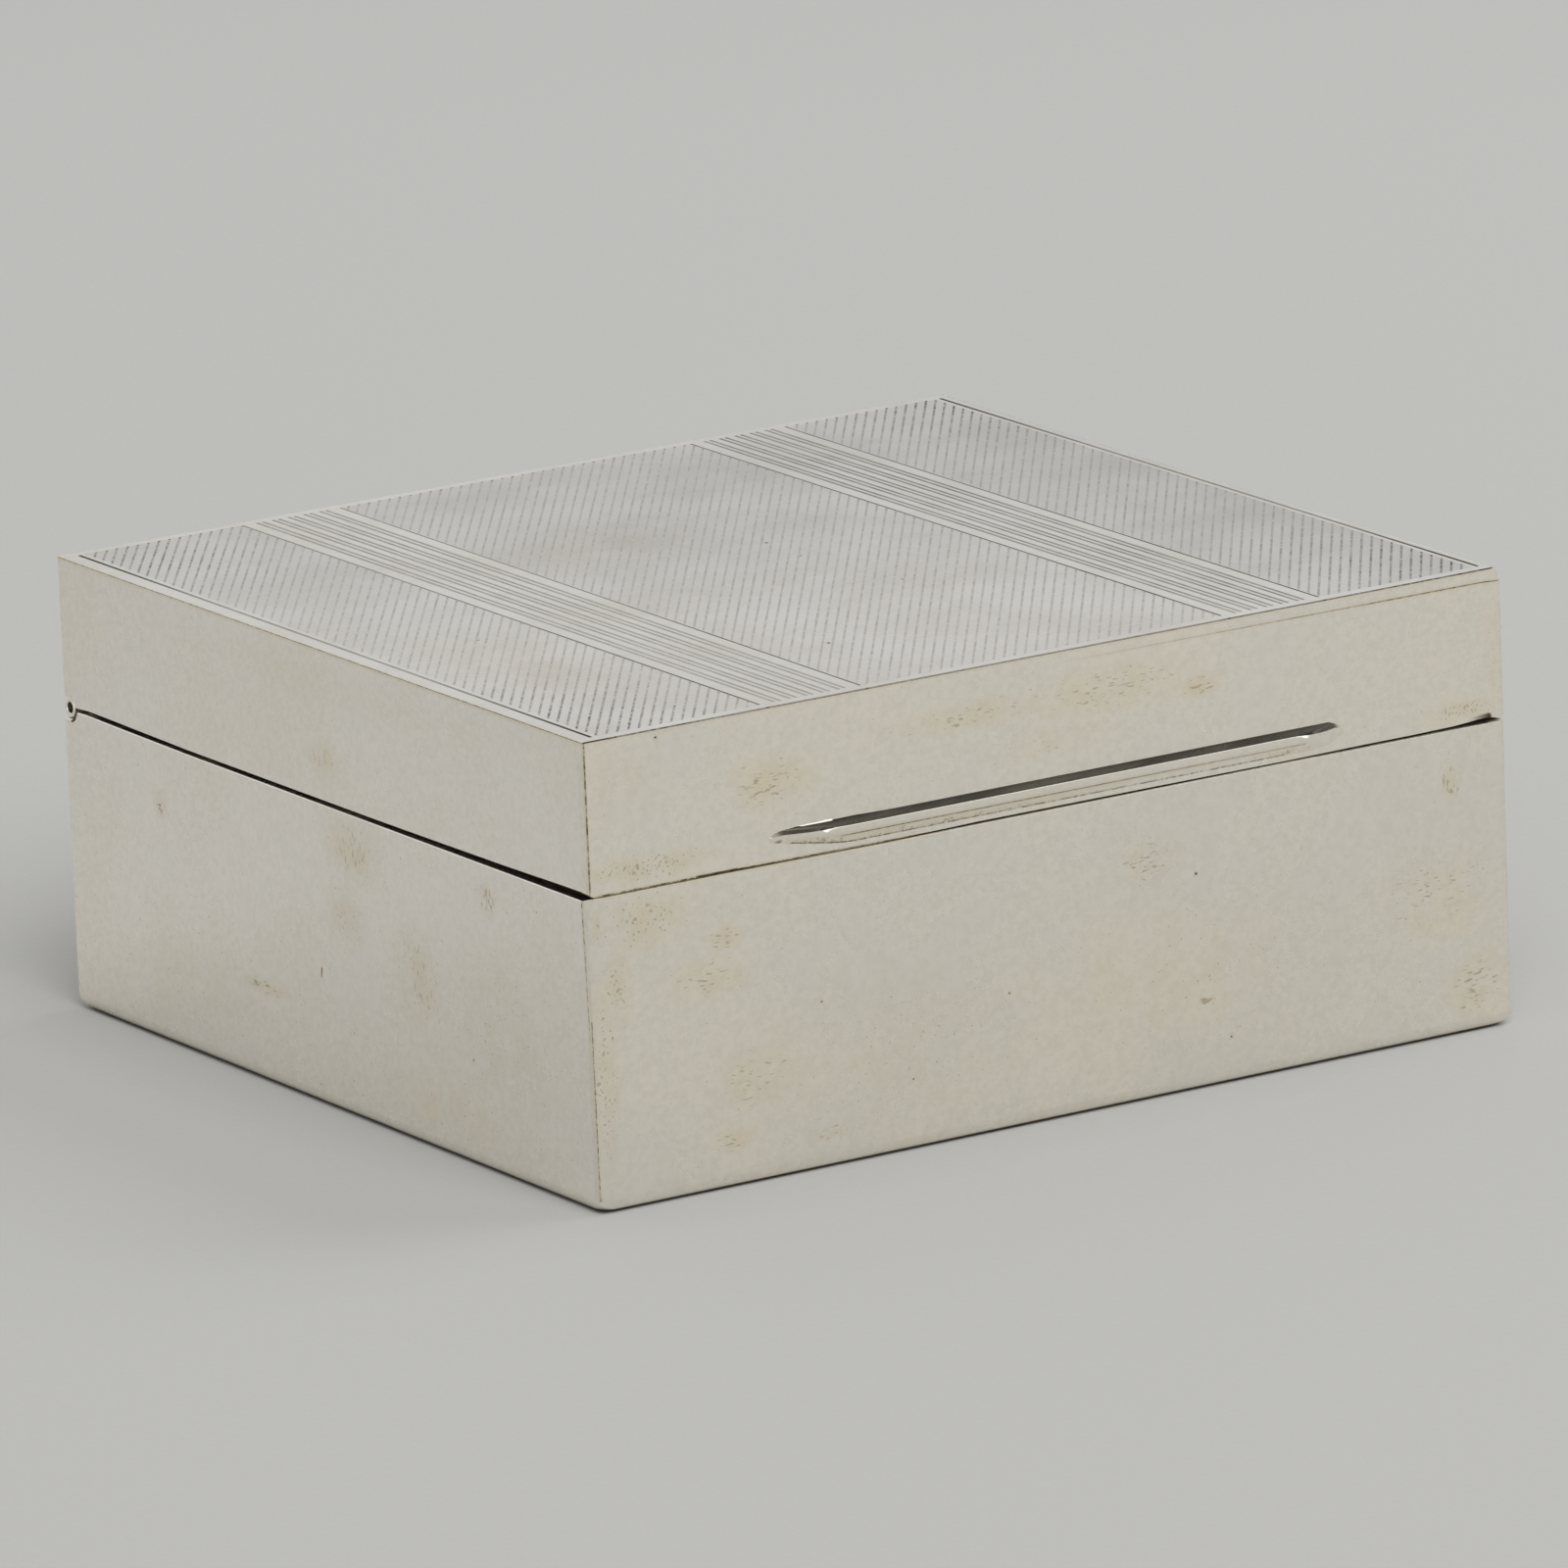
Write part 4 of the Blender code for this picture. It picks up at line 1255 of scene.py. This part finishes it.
def add_front_walls():
    """Front walls of the lid and the base, over the full width, with their bent and worn rims."""
    rim_low = PARTING - FRONT_PARTING / 2
    rim_high = PARTING + FRONT_PARTING / 2

    def round_front(left_round, rim_round):
        def round_of(a, b):
            if both(a, b, 1, FRONT) and abs(a.z - b.z) > WALL:
                return RIGHT_CORNER_ROUND if a.x > 0 else left_round
            near_rim = abs((a.z + b.z) / 2 - PARTING) < RIM_REACH
            along = abs(a.x - b.x) > WALL / 8
            return rim_round if near_rim and along and both(a, b, 1, FRONT) else 0

        return round_of

    near_left = FRONT_RIMS[0]
    lifted = [(LEFT, PARTING + LEFT_LID_END), (LEFT + LEFT_LID_CUT, PARTING + near_left[2])]
    lifted += [(LEFT + from_left, PARTING + rise) for from_left, _, rise in FRONT_RIMS[1:]]
    lifted += [(RIGHT - from_right, rim_high + rise) for from_right, rise in LIFTED_CORNER]
    lifted += [
        (RIGHT - RIGHT_END_LENGTH, rim_high),
        (RIGHT, rim_high + RIGHT_END_DROP),
        (RIGHT, PLATE_UNDERSIDE),
        (LEFT, PLATE_UNDERSIDE),
    ]
    edges = round_front(CORNER_ROUND, LID_RIM_ROUND)
    finish_wall(sheet("lid_front", lifted, 1, FRONT, FRONT + WALL, edges, lid_front_silver))
    worn = [
        (LEFT, FOOT_TOP),
        (RIGHT, FOOT_TOP),
        (RIGHT, rim_low - RIGHT_END_DROP),
        (RIGHT - RIGHT_END_LENGTH, rim_low),
    ]
    worn += [(LEFT + from_left, PARTING + rise) for from_left, rise, _ in reversed(FRONT_RIMS)]
    worn.append((LEFT, PARTING + near_left[1]))
    edges = round_front(WORN_CORNER_ROUND, BASE_RIM_ROUND)
    base_front = sheet("base_front", worn, 1, FRONT, FRONT + WALL, edges, base_front_silver)
    sharpen_low_corner(base_front)
    for vertex in base_front.data.vertices:
        at = vertex.co
        if at.x < LEFT + WALL and at.z > PARTING - BASE_RIM_ROUND * 3:
            at.z -= (near_left[1] - LEFT_BASE_END) * (at.y - FRONT) / WALL
    finish_wall(base_front)


def add_back_walls():
    """Back walls of the lid and the base, with room for the hinge tube between them."""

    def round_of(a, b):
        if both(a, b, 1, BACK) and abs(a.z - b.z) > WALL:
            return CORNER_ROUND
        near_edge = abs((a.z + b.z) / 2 - PARTING) < WALL and abs(a.x - b.x) > WALL
        return LID_RIM_ROUND if near_edge and both(a, b, 1, BACK) else 0

    over_tube = HINGE.z + KNUCKLE_RADIUS + KNUCKLE_GAP / 2
    walls = (
        ("lid_back", over_tube, PLATE_UNDERSIDE, lid_side_silver),
        ("base_back", FOOT_TOP, BACK_EDGE_BASE, base_side_silver),
    )
    for name, low, high, material in walls:
        outline = [(LEFT, low), (RIGHT, low), (RIGHT, high), (LEFT, high)]
        finish_wall(sheet(name, outline, 1, BACK - WALL, BACK, round_of, material))


def add_side_walls():
    """Side walls, notched at the back for the hinge tube."""
    inner_front = FRONT + WALL
    inner_back = BACK - WALL
    axis = (HINGE.y, HINGE.z)
    rim = FRONT_PARTING / 2
    for side, outer in ((-1, LEFT), (1, RIGHT)):
        left = side < 0
        lid_points = LEFT_LID_RIM if left else []
        base_points = LEFT_BASE_RIM if left else []
        lid_start, lid_end = (LEFT_LID_START, LEFT_LID_END) if left else (rim, rim)
        base_start, base_end = (LEFT_BASE_START, LEFT_BASE_END) if left else (-rim, -rim)

        def round_of(a, b):
            at_rim = abs((a.z + b.z) / 2 - PARTING) < WALL and abs(a.y - b.y) > WALL / 3
            lower = (a.z + b.z) / 2 < PARTING
            return (BASE_RIM_ROUND if lower else LID_RIM_ROUND) if at_rim and both(a, b, 0, outer) else 0

        span = sorted((outer, outer - side * WALL))
        room = KNUCKLE_RADIUS + KNUCKLE_GAP / 4
        drop = PARTING + lid_start - axis[1]
        start = pi - atan2(drop, sqrt(room ** 2 - drop ** 2))
        end = pi - atan2(sqrt(room ** 2 - (axis[0] - inner_back) ** 2), axis[0] - inner_back)
        lid_outline = [(inner_front, PARTING + lid_end)]
        lid_outline += [(BACK - from_back, PARTING + rise) for from_back, rise in reversed(lid_points)]
        lid_outline += arc(axis, room, start, end, NOTCH_STEPS)
        lid_outline += [(inner_back, PLATE_UNDERSIDE), (inner_front, PLATE_UNDERSIDE)]
        name = "lid_left" if left else "lid_right"
        finish_wall(sheet(name, lid_outline, 0, *span, round_of, lid_side_silver))
        room = KNUCKLE_RADIUS + SIDE_NOTCH_CLEARANCE
        first_drop = axis[1] - PARTING - base_start
        start = pi + atan2(sqrt(room ** 2 - (axis[0] - inner_back) ** 2), axis[0] - inner_back)
        end = pi + atan2(first_drop, sqrt(room ** 2 - first_drop ** 2))
        base_outline = [(inner_front, FOOT_TOP), (inner_back, FOOT_TOP)]
        base_outline += arc(axis, room, start, end, NOTCH_STEPS)
        base_outline += [(BACK - from_back, PARTING + rise) for from_back, rise in base_points]
        base_outline.append((inner_front, PARTING + base_end))
        name = "base_left" if left else "base_right"
        finish_wall(sheet(name, base_outline, 0, *span, round_of, base_side_silver))


def add_foot():
    """The bottom plate, filed round below and most at its corners."""
    bm = bmesh.new()
    rings = []
    for level in range(FOOT_LEVELS + 1):
        turn = pi / 2 * level / FOOT_LEVELS
        inset = FOOT_INSET * (1 - sin(turn))
        height = FOOT_TOP * (1 - cos(turn))
        near = CORNER_ROUND + (FOOT_CORNER_ROUND - CORNER_ROUND) * (1 - sin(turn)) ** FOOT_CORNER_POWER
        half_width, half_depth = WIDTH / 2 - inset, DEPTH / 2 - inset
        ring = []
        for right, back, start in ((1, 1, 0), (-1, 1, 1), (-1, -1, 2), (1, -1, 3)):
            centre = ((half_width - near) * right, (half_depth - near) * back)
            first = pi / 2 * start
            for point in arc(centre, near, first, first + pi / 2, FOOT_CORNER_STEPS):
                ring.append(bm.verts.new((*point, height)))
        rings.append(ring)
    skin(bm, rings)
    foot = add_piece("foot_plate", bm, foot_silver, FOOT_SMOOTH_BELOW)
    finish_piece(foot, "base", "silver", "base_bottom_plate")


def thumb_section(x):
    """One cross-section of the thumb-piece. Its sloping top keeps its slope and tapers to the tips."""
    end, from_tip = from_thumb_tip(x)
    low = thumb_foot(x)
    high = THUMB_HIGH - THUMB_UPPER_DROPS[end] * (1 - eased(from_tip / THUMB_UPPER_SWEEPS[end]))
    swell = thumb_swell(x)
    middle = (low + high) / 2
    pinch = 0.5 + 0.5 * min(swell * THUMB_PINCH, 1)
    crest = middle + (high - middle) * pinch
    taper = max(min(from_tip / THUMB_TAPERS[end], 1), 0)
    points = []
    for out, up in THUMB_SECTION_SHARES:
        level = middle + (low + up * (high - low) - middle) * pinch
        if up > THUMB_TOP_SHARE:
            out *= taper
            level = crest - (1 - up) * (high - low) * swell * taper
        points.append(Vector((x, FRONT - out * THUMB_REACH * swell, level)))
    filled = eased((from_tip - THUMB_FILLET_BEGIN) / THUMB_FILLET_BEGIN) if x < 0 else 0
    filled *= 1 - eased((from_tip - THUMB_FILLET_START) / (THUMB_FILLET_END - THUMB_FILLET_START))
    wave = sin(x * THUMB_FILLET_WAVES[0]) * cos(x * THUMB_FILLET_WAVES[1])
    filled *= 1 - THUMB_FILLET_UNEVEN + THUMB_FILLET_UNEVEN * wave
    points[0].z += THUMB_FILLET * filled
    points[1].z += THUMB_FILLET * filled / 3
    points[2].z += THUMB_FILLET * filled / 6
    points[1].y = min(points[1].y, FRONT - THUMB_FILLET_REACH * swell)
    return points


def add_thumb_piece():
    bm = bmesh.new()
    rings = []
    for step in range(THUMB_STATIONS + 1):
        way = -cos(pi * step / THUMB_STATIONS)
        x = way * THUMB_HALVES[1 if way > 0 else 0]
        rings.append([bm.verts.new(point) for point in thumb_section(x * THUMB_END)])
    skin(bm, rings)
    piece = add_piece("thumb_moulding", bm, thumb_silver, THUMB_SMOOTH_BELOW)
    finish_piece(piece, "lid", "silver", "thumb_piece")


def tube_mesh(bm, x_low, x_high, outer, inner, chamfer, lips=(0, 0)):
    """A tube along X with its end corners broken, and a lip closed in at an outer end."""
    low_lip, high_lip = lips
    profile = [
        (x_low, outer - chamfer),
        (x_low + chamfer, outer),
        (x_high - chamfer, outer),
        (x_high, outer - chamfer),
        (x_high, inner + chamfer - high_lip),
        (x_high - chamfer, inner - high_lip),
        (x_high - chamfer * 3 - high_lip, inner),
        (x_low + chamfer * 3 + low_lip, inner),
        (x_low + chamfer, inner - low_lip),
        (x_low, inner + chamfer - low_lip),
    ]
    rings = []
    for side in range(KNUCKLE_SIDES):
        turn = 2 * pi * side / KNUCKLE_SIDES
        out, up = cos(turn), sin(turn)
        rings.append([bm.verts.new((x, HINGE.y + r * out, HINGE.z + r * up)) for x, r in profile])
    skin(bm, rings + rings[:1], capped=False)


def add_solder(owner, number, x_low, x_high):
    """The solder that joins a knuckle to its wall."""
    up = 1 if owner == "lid" else -1
    edge = BACK_EDGE_LID if owner == "lid" else BACK_EDGE_BASE
    reach = KNUCKLE_RADIUS * cos(radians(SOLDER_FROM_UPRIGHT))
    wide = KNUCKLE_RADIUS * sin(radians(SOLDER_FROM_LEVEL))
    outline = [
        (HINGE.y - wide / 2, edge),
        (HINGE.y + wide, edge),
        (HINGE.y + wide, HINGE.z + up * reach),
        (HINGE.y - wide / 2, HINGE.z + up * reach),
    ]
    ends = (x_low + SOLDER_INSET, x_high - SOLDER_INSET)
    solder = sheet(f"{owner}_solder_{number}", outline, 0, *ends, lambda a, b: 0, hinge_silver)
    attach(solder, owner)


def add_hinge():
    """The knuckles, by turns on the lid and on the base, and the pin."""
    length = (WIDTH - KNUCKLE_GAP * (KNUCKLE_COUNT - 1)) / KNUCKLE_COUNT
    for index in range(KNUCKLE_COUNT):
        owner = "lid" if index % 2 == 0 else "base"
        x_low = LEFT + index * (length + KNUCKLE_GAP)
        x_high = x_low + length
        lip = KNUCKLE_BORE - KNUCKLE_LIP
        lips = (lip if index == 0 else 0, lip if index == KNUCKLE_COUNT - 1 else 0)
        bm = bmesh.new()
        tube_mesh(bm, x_low, x_high, KNUCKLE_RADIUS, KNUCKLE_BORE, KNUCKLE_CHAMFER, lips)
        knuckle = add_piece(f"{owner}_knuckle_{index + 1}", bm, hinge_silver, TUBE_SMOOTH_BELOW)
        finish_piece(knuckle, owner, "silver", f"{owner}_hinge_knuckle_{index + 1}")
        add_solder(owner, index + 1, x_low, x_high)
    bm = bmesh.new()
    tube_mesh(bm, LEFT + PIN_DEPTH, RIGHT - PIN_DEPTH, PIN_RADIUS, PIN_RADIUS / 10, PIN_RADIUS / 40)
    pin = add_piece("pin", bm, pin_steel, TUBE_SMOOTH_BELOW)
    finish_piece(pin, "base", "steel_pin", "hinge_pin")


def dress_lining():
    """The cedar pieces keep their solids and take cedar with the grain along their length."""
    for name, node in frame["nodes"].items():
        if not name.startswith("lining"):
            continue
        low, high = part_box(name)
        across = high.x - low.x > high.y - low.y
        material = cedar_across if across else cedar_along
        node.data.materials.clear()
        node.data.materials.append(material)


def add_floor():
    """Pale paper under the box, painted darker towards the front left and lighter towards the back right: a
    painted falloff of the light.
    """
    bm = bmesh.new()
    bmesh.ops.create_grid(bm, x_segments=1, y_segments=1, size=6)
    floor = add_piece("floor", bm, None)
    paper, w, shader, place = new_material("pale paper")
    parts = w.parts(place)
    along = w.plus(w.times(parts["X"], 0.65), w.times(parts["Y"], 0.75))
    share = w.between(along, -0.25, 0.35, smooth=False)
    tone = w.blend(share, PAPER_PAINTED_SHADE, PAPER_PAINTED_LIGHT)
    fibres = w.noise(place, PAPER_SCALE, 3.0, 0.7)
    tone = w.blend(w.between(fibres, 0.35, 0.60, 0.05, 0.0), tone, PAPER_FIBRE)
    dress(w, shader, tone, 0.9)
    shader.inputs["Specular IOR Level"].default_value = 0.1
    floor.data.materials.append(paper)


def add_room():
    """The room that the silver mirrors. It lights the box evenly."""
    world = bpy.data.worlds.new("room")
    bpy.context.scene.world = world
    world.use_nodes = True
    w = Wires(world.node_tree)
    nodes = world.node_tree.nodes
    nodes.clear()
    toward = w.add("ShaderNodeTexCoord").outputs["Generated"]
    ramp = w.add("ShaderNodeValToRGB", {0: w.parts(toward)["Z"]})
    stops = ramp.color_ramp.elements
    while len(stops) < len(SKY_SHARES):
        stops.new(0.5)
    for stop, share, tone in zip(stops, SKY_SHARES, SKY_TONES):
        stop.position = share
        stop.color = (tone, tone, tone, 1)
    room = ramp.outputs["Color"]
    for direction, reach, tone in SIDES:
        aligned = w.vectors("DOT_PRODUCT", toward, tuple(Vector(direction).normalized()))
        room = w.blend(w.between(aligned, *reach), room, (tone, tone, tone, 1))
    seen = w.add("ShaderNodeBackground", {"Color": room, "Strength": 1.0}).outputs[0]
    lit = w.add("ShaderNodeBackground", {"Color": (1, 1, 1, 1), "Strength": 0.50}).outputs[0]
    path = w.add("ShaderNodeLightPath").outputs
    shown = w.greater(path["Is Camera Ray"], path["Is Glossy Ray"])
    mixed = w.add("ShaderNodeMixShader", {0: shown, 1: lit, 2: seen}).outputs[0]
    w.add("ShaderNodeOutputWorld", {"Surface": mixed})


def add_lamp(name, place, size, power):
    """A square lamp that points at the box and doesn't show in the silver."""
    light = bpy.data.lights.new(name, "AREA")
    light.shape = "SQUARE"
    light.size = size
    light.energy = power
    lamp = link(name, light)
    lamp.location = place
    lamp.rotation_euler = (-Vector(place)).to_track_quat("-Z", "Y").to_euler()
    lamp.visible_glossy = False


def add_camera():
    """The photograph's view, from the fitted angles and distance."""
    az, el = VIEW_AZIMUTH, VIEW_ELEVATION
    ahead = Vector((-sin(az) * cos(el), cos(az) * cos(el), -sin(el)))
    level = Vector((cos(az), sin(az), 0))
    upward = level.cross(ahead)
    side = level * cos(VIEW_ROLL) + upward * sin(VIEW_ROLL)
    up = upward * cos(VIEW_ROLL) - level * sin(VIEW_ROLL)
    camera = bpy.data.cameras.new("camera")
    camera.sensor_width = SENSOR
    camera.lens = LENS
    camera.clip_end = 50
    obj = link("camera", camera)
    place = VIEW_AIM - ahead * VIEW_DISTANCE - side * AIM_SIDE - up * AIM_UP
    turn = Matrix((side, up, -ahead)).transposed().to_4x4()
    obj.matrix_world = Matrix.Translation(place) @ turn
    bpy.context.scene.camera = obj


add_lid_top()
add_front_walls()
add_back_walls()
add_side_walls()
add_foot()
add_thumb_piece()
add_hinge()
dress_lining()
add_floor()
add_room()
add_lamp("soft box in front", (-0.4, -1.7, 1.9), size=1.8, power=47.0)
add_lamp("soft box right", (1.6, -0.3, 2.0), size=1.4, power=14.0)
add_camera()
bpy.context.scene.view_settings.view_transform = "Standard"
